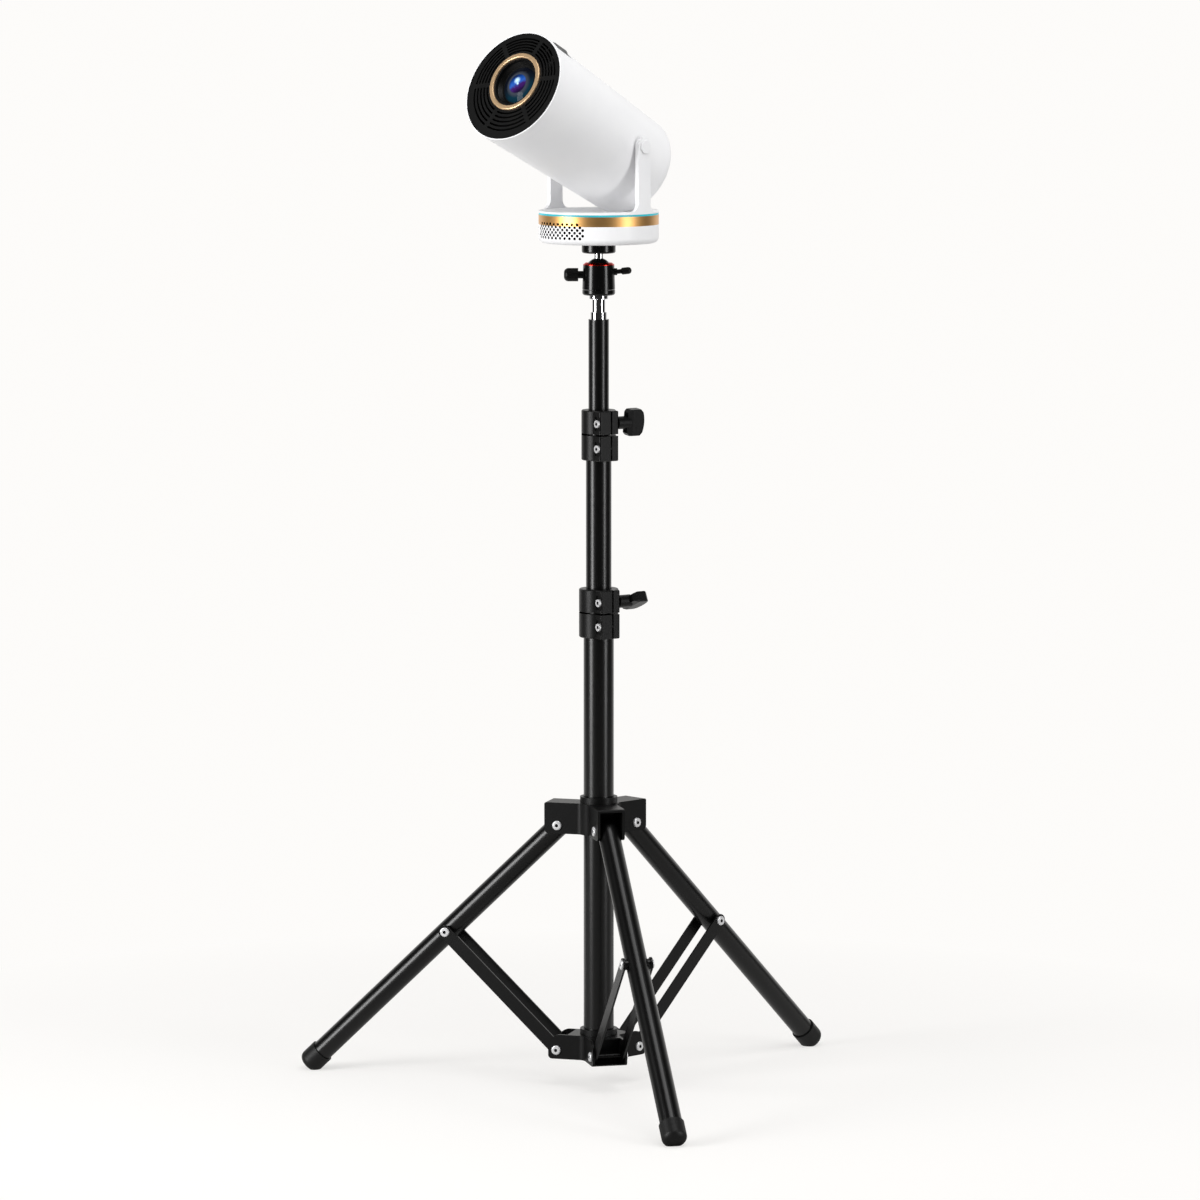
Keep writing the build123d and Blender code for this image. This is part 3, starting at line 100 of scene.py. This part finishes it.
# Sockets in the heads of bolts and pins
SOCKET_ACROSS = 3.2 * MM
SOCKET_DEPTH = 1.1 * MM
SOCKET_SIDES = 6
HEAD_REACH = 6.0 * MM        # vertices this near to an axis belong to the head on it
HUB_PINS = (                 # node, body and the joints that the pins are the axes of
    ("leg_pins", "hub", ("hub_level", "right_leg_fold", "left_leg_fold")),
    ("strut_pins", "column", ("leg_fold", "right_strut_fold", "left_strut_fold")),
)
KNEE_PINS = (                # side, and a joint with its axis along the side's knee pin
    ("front", "hub_level"),
    ("right", "right_leg_fold"),
    ("left", "left_leg_fold"),
)
CLAMPS = (("lower", "column"), ("upper", "middle_column"))

# Speaker holes round the front of the projector's base
HOLE_DIAMETER = 2.9 * MM
HOLE_SIDES = 14
HOLE_COUNTS = (11, 12, 11, 12, 11, 10)
HOLE_STEP = 5.4              # degrees between the holes of a row
HOLE_ROW_STEP = 2.77 * MM
HOLE_FIRST_ROW = 6.8 * MM    # above the base's underside
HOLE_DEPTH = 2.6 * MM
HOLE_OFFSET = -5.0           # degrees of the pattern's middle from the barrel's direction

# Painted reflections in the lens's coats, from its upper left edge to its lower right one
LENS_SIDE_SHARE = 0.7        # sideways share of the slant of its colours
LENS_SLANT_REACH = 0.5       # share of the radius over which they run to each side
LENS_CLOUD = 0.06            # how far they waver
LENS_EYE = [
    (0.04, (0.002, 0.010, 0.050)),
    (0.26, (0.005, 0.040, 0.200)),
    (0.44, (0.018, 0.075, 0.320)),
    (0.70, (0.032, 0.008, 0.080)),
    (0.96, (0.008, 0.003, 0.022)),
]
LENS_RIM = [
    (0.10, (0.003, 0.004, 0.008)),
    (0.55, (0.004, 0.008, 0.014)),
    (0.95, (0.003, 0.020, 0.034)),
]
LENS_PALE = (0.030, 0.036, 0.050)
LENS_HIGHLIGHT = (0.55, 0.80, 1.0)
LENS_EYE_EDGE = (0.56, 0.60)  # shares of the lens's radius
LENS_PALE_EDGE = (0.64, 0.78)
LENS_HIGHLIGHTS = (              # sideways, upwards and size, as shares of the radius
    (-0.04, 0.16, 0.22),
    (0.06, -0.02, 0.09),
    (0.34, -0.58, 0.07),
)

# Surfaces
DARK_TONE = 0.004            # of the parts of a material that turn black
BLACK_TONES = (0.8, 1.25)    # deepest and palest patches of a black coat, as shares of its tone
BLACK_GLOSS = (0.98, 1.02)   # its most and its least glossy patches, as shares of its roughness
TURNED = (0.06, 0.06, 1.0)   # stretch that lays a pattern in lines round the vertical axis
TURNING_LINES = 2600.0       # about this many to a metre
INSIDE_DEPTH = 10.0 * MM     # a barrel's surface that faces its axis from further off is its inside, painted black as shade
NECK_FADE = 0.3 * MM         # between the dark ball and its polished neck
PIN_HEAD_DEPTH = 3.0 * MM    # of the bright heads at both ends of a dark pin
PIN_FADE = 0.3 * MM


# Places read from the model


def middle(node):
    """Middle of a node's box."""
    low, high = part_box(node)
    return (low + high) / 2


COLUMN = middle("base_tube")
BASE = middle("base_light")
BASE_RADIUS = (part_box("base_band")[1].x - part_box("base_band")[0].x) / 2
AIM = (middle("front_bezel") - middle("rear_panel")).normalized()
LENS = middle("lens")
LENS_RADIUS = max(AIM.cross(vertex.co - LENS).length for vertex in NODES["lens"].data.vertices)
LENS_TOP = LENS + AIM * max(AIM.dot(vertex.co - LENS) for vertex in NODES["lens"].data.vertices)
JOINTS = {joint["name"]: joint for joint in frame["record"]["behaviour"]["joints"]}


def axis_of(joint):
    """Direction of a joint's axis."""
    return Vector(JOINTS[joint]["axis"]).normalized()


def place_of(joint):
    """A point on a joint's axis."""
    return Vector(JOINTS[joint]["pos_m"])


# Node trees


def add(tree, kind, **settings):
    """New node with its settings."""
    node = tree.nodes.new(kind)
    for name, value in settings.items():
        setattr(node, name, value)
    return node


def feed(tree, socket, value):
    """Gives a socket a fixed value, or links it to another node's output."""
    if isinstance(value, bpy.types.NodeSocket):
        tree.links.new(value, socket)
    else:
        socket.default_value = value


def dress(tree, node, inputs):
    """Feeds a node's inputs, given by name."""
    for name, value in inputs.items():
        feed(tree, node.inputs[name], value)


def material(name):
    """New material, with its tree and its main shader."""
    made = bpy.data.materials.new(name)
    made.use_nodes = True
    tree = made.node_tree
    return made, tree, tree.nodes["Principled BSDF"]


def shade(value):
    """Grey of a given brightness."""
    return (value, value, value)


def opaque(colour):
    """Colour with full cover, as sockets take it."""
    return (*colour, 1.0)


def point(tree, stretch=(1.0, 1.0, 1.0)):
    """Place on the piece itself, in metres, stretched along its axes."""
    mapping = add(tree, "ShaderNodeMapping")
    place = add(tree, "ShaderNodeTexCoord").outputs["Object"]
    dress(tree, mapping, {"Vector": place, "Scale": stretch})
    return mapping.outputs["Vector"]


def noise(tree, scale, detail=3.0, stretch=(1.0, 1.0, 1.0)):
    """Soft random pattern with about scale features to a metre."""
    node = add(tree, "ShaderNodeTexNoise")
    dress(tree, node, {"Scale": scale, "Detail": detail, "Vector": point(tree, stretch)})
    return node.outputs[0]


def between(tree, value, low, high, start=0.3, end=0.7):
    """Value from start to end spread over low to high."""
    node = add(tree, "ShaderNodeMapRange")
    dress(tree, node, {
        "Value": value,
        "From Min": start,
        "From Max": end,
        "To Min": low,
        "To Max": high,
    })
    return node.outputs["Result"]


def combine(tree, operation, first, second):
    """One value from two."""
    node = add(tree, "ShaderNodeMath", operation=operation)
    feed(tree, node.inputs[0], first)
    feed(tree, node.inputs[1], second)
    return node.outputs["Value"]


def vectors(tree, operation, first, second):
    """Node that works on two vectors."""
    node = add(tree, "ShaderNodeVectorMath", operation=operation)
    feed(tree, node.inputs[0], first)
    feed(tree, node.inputs[1], second)
    return node


def offset(tree, place):
    """Way from a fixed place to the shaded point."""
    return vectors(tree, "SUBTRACT", point(tree), place).outputs["Vector"]


def distance(tree, place):
    """Distance of the shaded point from a fixed place, in metres."""
    return vectors(tree, "DISTANCE", point(tree), place).outputs["Value"]


def along(tree, place, direction):
    """How far the shaded point lies from a fixed place along a direction, in metres."""
    return vectors(tree, "DOT_PRODUCT", offset(tree, place), direction).outputs["Value"]


def colours(tree, value, stops):
    """Colour ramp from (place, colour) stops."""
    node = add(tree, "ShaderNodeValToRGB")
    ramp = node.color_ramp
    while len(ramp.elements) < len(stops):
        ramp.elements.new(0.5)
    for element, (place, colour) in zip(ramp.elements, stops):
        element.position = place
        element.color = opaque(colour)
    feed(tree, node.inputs["Fac"], value)
    return node.outputs["Color"]


def patchy(tree, pattern, deep, pale, start=0.35, end=0.65):
    """Deep colour where a pattern is below start, and pale colour where it is above end."""
    return colours(tree, pattern, [(start, deep), (end, pale)])


def blend(tree, share, first, second):
    """First colour turning into the second as share goes from 0 to 1."""
    node = add(tree, "ShaderNodeMix", data_type="RGBA")
    feed(tree, node.inputs["Factor"], share)
    for socket, value in ((node.inputs[6], first), (node.inputs[7], second)):
        feed(tree, socket, value if isinstance(value, bpy.types.NodeSocket) else opaque(value))
    return node.outputs[2]


def relief(tree, height, depth):
    """Fine surface relief of a given depth in metres."""
    node = add(tree, "ShaderNodeBump")
    dress(tree, node, {"Distance": depth, "Height": height})
    return node.outputs["Normal"]


def darken(made, share):
    """Turns a material's own colour black as share goes from 0 to 1."""
    tree = made.node_tree
    socket = tree.nodes["Principled BSDF"].inputs["Base Color"]
    own = socket.links[0].from_socket
    feed(tree, socket, blend(tree, share, own, shade(DARK_TONE)))


# Black materials


def painted_black(name, tone, roughness, specular, grain, depth):
    """Black coat with a fine grain and a slightly uneven gloss."""
    made, tree, shader = material(name)
    deep, pale = (shade(tone * share) for share in BLACK_TONES)
    glossy, dull = (roughness * share for share in BLACK_GLOSS)
    gloss = noise(tree, scale=160.0, detail=4.0)
    dress(tree, shader, {
        "Specular IOR Level": specular,
        "Base Color": patchy(tree, noise(tree, scale=38.0), deep, pale),
        "Roughness": between(tree, gloss, low=glossy, high=dull),
        "Normal": relief(tree, noise(tree, grain, detail=2.0), depth),
    })
    return made


def tube_black():
    """Satin coat of the tubes."""
    return painted_black(
        "tube_black", tone=0.001, roughness=0.28, specular=0.45, grain=1400.0, depth=0.0005 * MM,
    )


def plastic_black():
    """Moulded black plastic with a spark-eroded grain."""
    return painted_black(
        "plastic_black", tone=0.0022, roughness=0.39, specular=0.24, grain=2600.0, depth=0.004 * MM,
    )


def strut_black():
    """Black paint of the flat struts."""
    return painted_black(
        "strut_black", tone=0.0012, roughness=0.33, specular=0.34, grain=1100.0, depth=0.002 * MM,
    )


def head_black():
    """Anodised black of the ball head."""
    return painted_black(
        "head_black", tone=0.002, roughness=0.20, specular=0.40, grain=3000.0, depth=0.0005 * MM,
    )


def bezel_black():
    """Moulded black of the front grille."""
    return painted_black(
        "bezel_black", tone=0.004, roughness=0.42, specular=0.30, grain=2400.0, depth=0.004 * MM,
    )


def rubber():
    """Matt rubber with a rough grain."""
    return painted_black(
        "rubber", tone=0.005, roughness=0.48, specular=0.30, grain=1500.0, depth=0.01 * MM,
    )


def hole_shade():
    """Painted shade: black on the walls and floors of the speaker holes."""
    return painted_black(
        "hole_shade", tone=0.002, roughness=0.85, specular=0.1, grain=1800.0, depth=0.1 * MM,
    )


def socket_shade():
    """Painted shade inside the sockets in bolts and pins: their cut faces are black in the pale heads."""
    return painted_black(
        "socket_shade", tone=0.004, roughness=0.5, specular=0.2, grain=1800.0, depth=0.01 * MM,
    )


# Metals


def metal(name, tint, roughness, depth, lines=TURNING_LINES, uneven=0.25, metallic=1.0):
    """Metal with fine turning lines round the vertical axis, and a gloss uneven by a share."""
    made, tree, shader = material(name)
    pattern = noise(tree, lines, detail=2.0, stretch=TURNED)
    pale = tuple(min(1.0, part * (1.0 + uneven / 4)) for part in tint)
    deep = tuple(part * (1.0 - uneven / 4) for part in tint)
    gloss = between(tree, pattern, low=roughness * (1.0 - uneven), high=roughness * (1.0 + uneven))
    dress(tree, shader, {
        "Metallic": metallic,
        "Base Color": patchy(tree, pattern, deep, pale),
        "Roughness": gloss,
        "Normal": relief(tree, pattern, depth),
    })
    return made


def chrome():
    """Plated steel of the spigot and its nut."""
    return metal("chrome", tint=(0.80, 0.80, 0.815), roughness=0.10, depth=0.0006 * MM)


def ring_red():
    """Red anodised ring."""
    return metal("ring_red", tint=(0.66, 0.018, 0.008), roughness=0.24, depth=0.001 * MM)


def zinc(name):
    """Pale plated steel of the heads of bolts and pins."""
    return metal(name, tint=(0.84, 0.84, 0.85), roughness=0.32, depth=0.0006 * MM, metallic=0.55)


def gold(name="gold", tint=(0.84, 0.465, 0.155), metallic=1.0):
    """Satin gold under a clear coat."""
    made = metal(
        name, tint, roughness=0.42, depth=0.00005 * MM, lines=3200.0, uneven=0.05, metallic=metallic,
    )
    tree = made.node_tree
    dress(tree, tree.nodes["Principled BSDF"], {"Coat Weight": 0.5, "Coat Roughness": 0.4})
    return made


def pale_gold():
    """Paler gold of the ring round the lens."""
    return gold("pale_gold", tint=(0.95, 0.65, 0.37), metallic=0.82)


def pin_steel(name, joints, reach):
    """Plated heads of pins on the axes of some joints, dark up to reach from the pins' middles."""
    made = zinc(name)
    tree = made.node_tree
    nearest = distance(tree, place_of(joints[0]))
    for joint in joints[1:]:
        nearest = combine(tree, "MINIMUM", nearest, distance(tree, place_of(joint)))
    darken(made, between(tree, nearest, 1.0, 0.0, reach, reach + PIN_FADE))
    return made


def ball_and_neck():
    """Dark ball with a polished neck above it."""
    made, tree, shader = material("ball_and_neck")
    centre = place_of("ball_tilt")
    radius = centre.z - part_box("ball_stem")[0].z
    polished = between(tree, distance(tree, centre), 0.0, 1.0, radius + NECK_FADE / 2, radius + NECK_FADE)
    lines = noise(tree, TURNING_LINES, detail=2.0, stretch=TURNED)
    steel = patchy(tree, lines, deep=shade(0.72), pale=shade(0.84))
    dress(tree, shader, {
        "Base Color": blend(tree, polished, shade(DARK_TONE), steel),
        "Metallic": polished,
        "Roughness": between(tree, lines, low=0.10, high=0.18),
    })
    return made


# Plastics and glass


def white(name="white"):
    """Satin white plastic with a fine grain."""
    made, tree, shader = material(name)
    deep = (0.845, 0.845, 0.857)
    pale = (0.875, 0.875, 0.882)
    gloss = noise(tree, scale=240.0, detail=4.0)
    dress(tree, shader, {
        "Specular IOR Level": 0.45,
        "Base Color": patchy(tree, noise(tree, scale=22.0), deep, pale, start=0.3, end=0.7),
        "Roughness": between(tree, gloss, low=0.34, high=0.44),
        "Normal": relief(tree, noise(tree, scale=3200.0, detail=2.0), depth=0.012 * MM),
    })
    return made


def barrel_white():
    """White of the barrel, with its inside painted black as shade, so that the grille's slots look dark.
    """
    made = white("barrel_white")
    tree = made.node_tree
    way = offset(tree, LENS)
    lengthwise = vectors(tree, "PROJECT", way, AIM).outputs["Vector"]
    outward = vectors(tree, "SUBTRACT", way, lengthwise).outputs["Vector"]
    normal = add(tree, "ShaderNodeTexCoord").outputs["Normal"]
    facing = vectors(tree, "DOT_PRODUCT", outward, normal).outputs["Value"]
    # Painted shade: surfaces that face the barrel's axis from further off than INSIDE_DEPTH turn black.
    darken(made, between(tree, facing, 1.0, 0.0, -INSIDE_DEPTH, -INSIDE_DEPTH / 2))
    return made


def light():
    """Lit ring of clear plastic, brighter in patches."""
    made, tree, shader = material("light")
    deep = (0.010, 0.230, 0.290)
    pale = (0.035, 0.420, 0.470)
    glow = patchy(tree, noise(tree, scale=26.0), deep, pale, start=0.3, end=0.7)
    dress(tree, shader, {
        "Roughness": 0.35,
        "Base Color": glow,
        "Emission Color": glow,
        "Emission Strength": 0.55,
    })
    return made


def wheel_grey():
    """Grey rubber of the focus wheel."""
    made, tree, shader = material("wheel_grey")
    patches = noise(tree, scale=300.0)
    dress(tree, shader, {
        "Specular IOR Level": 0.35,
        "Base Color": patchy(tree, patches, shade(0.13), shade(0.18), start=0.3, end=0.7),
        "Roughness": between(tree, patches, low=0.5, high=0.62),
        "Normal": relief(tree, noise(tree, scale=2400.0, detail=2.0), depth=0.03 * MM),
    })
    return made


def glass():
    """Coated lens with painted reflections: a blue to violet eye in a pale ring, teal outside, with
    painted highlights; it glows a little by itself.
    """
    made, tree, shader = material("glass")
    upright = (UPWARD - AIM * AIM.z).normalized()
    aside = upright.cross(AIM)
    down = (aside * LENS_SIDE_SHARE - upright).normalized()
    reach = LENS_SLANT_REACH * LENS_RADIUS
    slant = between(tree, along(tree, LENS, down), 0.0, 1.0, -reach, reach)
    cloud = between(tree, noise(tree, scale=300.0, detail=1.0), -LENS_CLOUD, LENS_CLOUD)
    uneven = combine(tree, "ADD", slant, cloud)
    surface = colours(tree, uneven, LENS_EYE)
    rim = colours(tree, uneven, LENS_RIM)
    radius = distance(tree, LENS)
    for colour, (start, end) in ((LENS_PALE, LENS_EYE_EDGE), (rim, LENS_PALE_EDGE)):
        border = between(tree, radius, 0.0, 1.0, start * LENS_RADIUS, end * LENS_RADIUS)
        surface = blend(tree, border, surface, colour)
    # Painted highlights on the lens.
    for sideways, upwards, size in LENS_HIGHLIGHTS:
        spark = LENS_TOP + (aside * sideways + upright * upwards) * LENS_RADIUS
        near = between(tree, distance(tree, spark), 1.0, 0.0, 0.0, size * LENS_RADIUS)
        surface = blend(tree, near, surface, LENS_HIGHLIGHT)
    # The painted reflections also glow a little, though the lens is no lamp.
    dress(tree, shader, {
        "Roughness": 0.05,
        "Specular IOR Level": 0.06,
        "Base Color": surface,
        "Emission Color": surface,
        "Emission Strength": 0.5,
    })
    return made


MATERIALS = {
    make.__name__: make()
    for make in (
        tube_black, plastic_black, rubber, chrome, strut_black, head_black, ring_red,
        white, gold, light, bezel_black, glass, wheel_grey,
    )
}
HOLE_SHADE = hole_shade()
SOCKET_SHADE = socket_shade()
ZINC = zinc("zinc")


# Pieces


def wear(node, look):
    """Gives a node one material."""
    NODES[node].data.materials.clear()
    NODES[node].data.materials.append(look)


def finish_nodes():
    """Each node gets its slot's material, and some get one of their own."""
    for part in frame["record"]["subparts"]:
        wear(part["node"], MATERIALS[part["material_slot"]])
    wear("ball_stem", ball_and_neck())
    wear("lens_ring", pale_gold())
    wear("barrel_shell", barrel_white())


def new_object(name, data):
    """Object added to the scene."""
    made = bpy.data.objects.new(name, data)
    bpy.context.scene.collection.objects.link(made)
    return made


def new_mesh(name, shape, look):
    """Mesh from a bmesh, in one material."""
    mesh = bpy.data.meshes.new(name)
    shape.to_mesh(mesh)
    shape.free()
    mesh.materials.append(look)
    return mesh


def soft_edges():
    """Geometry nodes that shade a cut node smooth, with its sharp edges kept."""
    group = bpy.data.node_groups.new("soft_edges", "GeometryNodeTree")
    group.interface.new_socket("Geometry", in_out="INPUT", socket_type="NodeSocketGeometry")
    group.interface.new_socket("Geometry", in_out="OUTPUT", socket_type="NodeSocketGeometry")
    start = add(group, "NodeGroupInput")
    plain = add(group, "GeometryNodeRemoveAttribute")
    plain.inputs["Name"].default_value = "custom_normal"
    faces = add(group, "GeometryNodeSetShadeSmooth")
    edges = add(group, "GeometryNodeSetShadeSmooth", domain="EDGE")
    end = add(group, "NodeGroupOutput")
    for first, second in ((start, plain), (plain, faces), (faces, edges), (edges, end)):
        group.links.new(first.outputs[0], second.inputs[0])
    angle = add(group, "GeometryNodeInputMeshEdgeAngle")
    blunt = add(group, "FunctionNodeCompare", data_type="FLOAT", operation="LESS_EQUAL")
    blunt.inputs["B"].default_value = math.radians(SHARP_ANGLE)
    group.links.new(angle.outputs["Unsigned Angle"], blunt.inputs["A"])
    group.links.new(blunt.outputs["Result"], edges.inputs["Shade Smooth"])
    return group


SOFT_EDGES = soft_edges()


def cut(shape, look, body, *nodes):
    """Hidden cutter on a body, taken out of some of its nodes; the cut shows the cutter's look."""
    name = nodes[0] + "_cutter"
    mesh = new_mesh(name, shape, look)
    mesh.shade_smooth()
    mesh.set_sharp_from_angle(angle=math.radians(SHARP_ANGLE))
    tool = new_object(name, mesh)
    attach(tool, body)
    tool.hide_render = True
    for node in nodes:
        shown = NODES[node]
        weld = shown.modifiers.new("weld", "WELD")
        weld.merge_threshold = WELD
        take = shown.modifiers.new("cut", "BOOLEAN")
        take.operation = "DIFFERENCE"
        take.solver = "EXACT"
        take.material_mode = "TRANSFER"
        take.object = tool
        soften = shown.modifiers.new("soften", "NODES")
        soften.node_group = SOFT_EDGES


def drill(shape, place, direction, radius, depth, sides):
    """Adds a prism to a cutter that reaches depth into a surface at a place."""
    turn = direction.to_track_quat("Z", "Y").to_matrix().to_4x4()
    bmesh.ops.create_cone(
        shape,
        cap_ends=True,
        segments=sides,
        radius1=radius,
        radius2=radius,
        depth=2 * depth,
        matrix=Matrix.Translation(place) @ turn,
    )


def speaker_holes():
    """Staggered rows of round holes round the front of the projector's base."""
    shape = bmesh.new()
    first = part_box("projector_base")[0].z + HOLE_FIRST_ROW
    direction = math.degrees(math.atan2(AIM.y, AIM.x)) + HOLE_OFFSET
    for row, count in enumerate(HOLE_COUNTS):
        for hole in range(count):
            turn = math.radians(direction + (hole - (count - 1) / 2) * HOLE_STEP)
            outward = Vector((math.cos(turn), math.sin(turn), 0.0))
            place = Vector((BASE.x, BASE.y, first + row * HOLE_ROW_STEP)) + outward * BASE_RADIUS
            drill(shape, place, outward, HOLE_DIAMETER / 2, HOLE_DEPTH, HOLE_SIDES)
    # The cut faces of the holes show the painted shade.
    cut(shape, HOLE_SHADE, "stage", "projector_base", "base_band")


def end_of(node, place, direction):
    """Point where the part of a node round an axis ends in a direction."""
    reach = [
        (vertex.co - place).dot(direction)
        for vertex in NODES[node].data.vertices
        if direction.cross(vertex.co - place).length < HEAD_REACH
    ]
    return place + direction * max(reach)


def sockets(node, body, heads):
    """Six-sided sockets in the heads of a node, each head given by its axis's place and direction."""
    shape = bmesh.new()
    for place, direction in heads:
        end = end_of(node, place, direction)
        drill(shape, end, direction, SOCKET_ACROSS / math.sqrt(3), SOCKET_DEPTH, SOCKET_SIDES)
    # The insides of the sockets show the painted shade.
    cut(shape, SOCKET_SHADE, body, node)


def both_ways(place, axis):
    """The two heads of a pin."""
    return [(place, axis), (place, -axis)]


def hub_pins():
    """Bright socket heads on the dark pins of both hubs; the pins of one hub are alike."""
    for node, body, joints in HUB_PINS:
        heads = [head for joint in joints for head in both_ways(place_of(joint), axis_of(joint))]
        place, axis = heads[0]
        reach = (end_of(node, place, axis) - place).length - PIN_HEAD_DEPTH
        wear(node, pin_steel(f"steel_{node}", joints, reach))
        sockets(node, body, heads)


def knee_pins():
    """Socket heads of the pins between legs and struts."""
    for side, joint in KNEE_PINS:
        node = f"knee_pin_{side}"
        wear(node, ZINC)
        sockets(node, f"{side}_strut", both_ways(middle(node), axis_of(joint)))


def clamp_bolts():
    """Socket heads of the two bolts of each clamp, the upper one on the axis of the clamp's knob."""
    for name, body in CLAMPS:
        node = f"{name}_clamp_bolts"
        wear(node, ZINC)
        joint = f"{name}_knob_turn"
        upper = place_of(joint)
        low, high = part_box(node)
        lower = Vector((upper.x, upper.y, low.z + high.z - upper.z))
        sockets(node, body, [(upper, -axis_of(joint)), (lower, -axis_of(joint))])


# Studio


def camera():
    """Camera at the photograph's place and angle."""
    data = bpy.data.cameras.new("camera")
    data.lens = FOCAL_LENGTH_MM
    data.sensor_width = SENSOR_MM
    data.clip_end = CAMERA_DEPTH
    made = new_object("camera", data)
    made.location = (COLUMN.x + CAMERA_RIGHT, COLUMN.y - CAMERA_BACK, CAMERA_HEIGHT)
    made.rotation_euler = (math.radians(90.0 - CAMERA_PITCH), 0.0, 0.0)
    bpy.context.scene.camera = made


def lamp(name, place, target, size, power):
    """Soft rectangular lamp turned to a target."""
    data = bpy.data.lights.new(name, "AREA")
    data.shape = "RECTANGLE"
    data.size, data.size_y = size
    data.energy = power
    made = new_object(name, data)
    made.location = place
    aim = Vector(target) - Vector(place)
    made.rotation_euler = aim.to_track_quat("-Z", "Y").to_euler()
    made.visible_camera = False


def lamps():
    """Tall soft boxes left and right of the camera, and a large one overhead."""
    target = (COLUMN.x, COLUMN.y, BOX_AIM_HEIGHT)
    for name, angle, width, power in SIDE_BOXES:
        turn = math.radians(angle)
        across = BOX_DISTANCE * math.sin(turn)
        ahead = BOX_DISTANCE * math.cos(turn)
        lamp(name, (COLUMN.x + across, COLUMN.y - ahead, BOX_HEIGHT), target, (width, BOX_LENGTH), power)
    lamp("top_box", TOP_BOX_PLACE, TOP_BOX_AIM, TOP_BOX_SIZE, TOP_BOX_POWER)


def seen(tree):
    """Two values: 1 for what shows straight or through glass, and 1 for what shows in a mirror."""
    path = add(tree, "ShaderNodeLightPath")
    straight = combine(tree, "MAXIMUM", path.outputs["Is Camera Ray"], path.outputs["Is Transmission Ray"])
    return straight, path.outputs["Is Glossy Ray"]


def mixed(tree, share, first, second):
    """First shader turning into the second as share goes from 0 to 1."""
    node = add(tree, "ShaderNodeMixShader")
    for socket, value in zip(node.inputs, (share, first, second)):
        feed(tree, socket, value)
    return node.outputs["Shader"]


def matt(tree, colour):
    """Plain matt shader."""
    node = add(tree, "ShaderNodeBsdfDiffuse")
    feed(tree, node.inputs["Color"], opaque(colour))
    return node.outputs["BSDF"]


def lit(tree, strength):
    """Shader that shines in the backdrop's colour."""
    node = add(tree, "ShaderNodeEmission")
    dress(tree, node, {"Color": opaque(BACKGROUND), "Strength": strength})
    return node.outputs["Emission"]


def world():
    """Pale backdrop, with a plain soft light for the object."""
    made = bpy.data.worlds.new("studio")
    bpy.context.scene.world = made
    made.use_nodes = True
    tree = made.node_tree
    soft = tree.nodes["Background"]
    dress(tree, soft, {"Color": opaque(shade(1.0)), "Strength": AMBIENT})
    parts = add(tree, "ShaderNodeSeparateXYZ")
    feed(tree, parts.inputs["Vector"], add(tree, "ShaderNodeTexCoord").outputs["Generated"])
    behind = between(tree, parts.outputs["Y"], DARK_ROOM, 1.0, *BACKDROP_EDGE)
    straight, mirrored = seen(tree)
    strength = add(tree, "ShaderNodeMix", data_type="FLOAT")
    dress(tree, strength, {"Factor": straight, "A": behind, "B": 1.0})
    pale = add(tree, "ShaderNodeBackground")
    dress(tree, pale, {"Color": opaque(BACKGROUND), "Strength": strength.outputs["Result"]})
    shown = combine(tree, "MAXIMUM", straight, mirrored)
    surface = mixed(tree, shown, soft.outputs["Background"], pale.outputs["Background"])
    feed(tree, tree.nodes["World Output"].inputs["Surface"], surface)


def floor_material():
    """Pale floor that keeps a soft shadow near the object and turns into the backdrop further out."""
    made, tree, shader = material("floor")
    tree.nodes.remove(shader)
    near = add(tree, "ShaderNodeAddShader")
    feed(tree, near.inputs[0], matt(tree, [part * (1.0 - FLOOR_GLOW) for part in BACKGROUND]))
    feed(tree, near.inputs[1], lit(tree, FLOOR_GLOW))
    fade = between(tree, distance(tree, ORIGIN), 0.0, 1.0, *FLOOR_FADE)
    pale = mixed(tree, fade, near.outputs["Shader"], lit(tree, 1.0))
    straight, mirrored = seen(tree)
    behind = between(tree, along(tree, ORIGIN, BACKWARD), 0.0, 1.0, *FLOOR_BACK)
    shown = combine(tree, "MAXIMUM", straight, combine(tree, "MULTIPLY", mirrored, behind))
    surface = mixed(tree, shown, matt(tree, FLOOR_COLOUR), pale)
    feed(tree, tree.nodes["Material Output"].inputs["Surface"], surface)
    return made


def floor():
    """Round pale floor."""
    shape = bmesh.new()
    bmesh.ops.create_circle(shape, cap_ends=True, radius=FLOOR_RADIUS, segments=FLOOR_SIDES)
    made = new_object("floor", new_mesh("floor", shape, floor_material()))
    made.location.z = -FLOOR_DROP


finish_nodes()
speaker_holes()
hub_pins()
knee_pins()
clamp_bolts()
camera()
lamps()
world()
floor()
bpy.context.scene.view_settings.view_transform = "Standard"
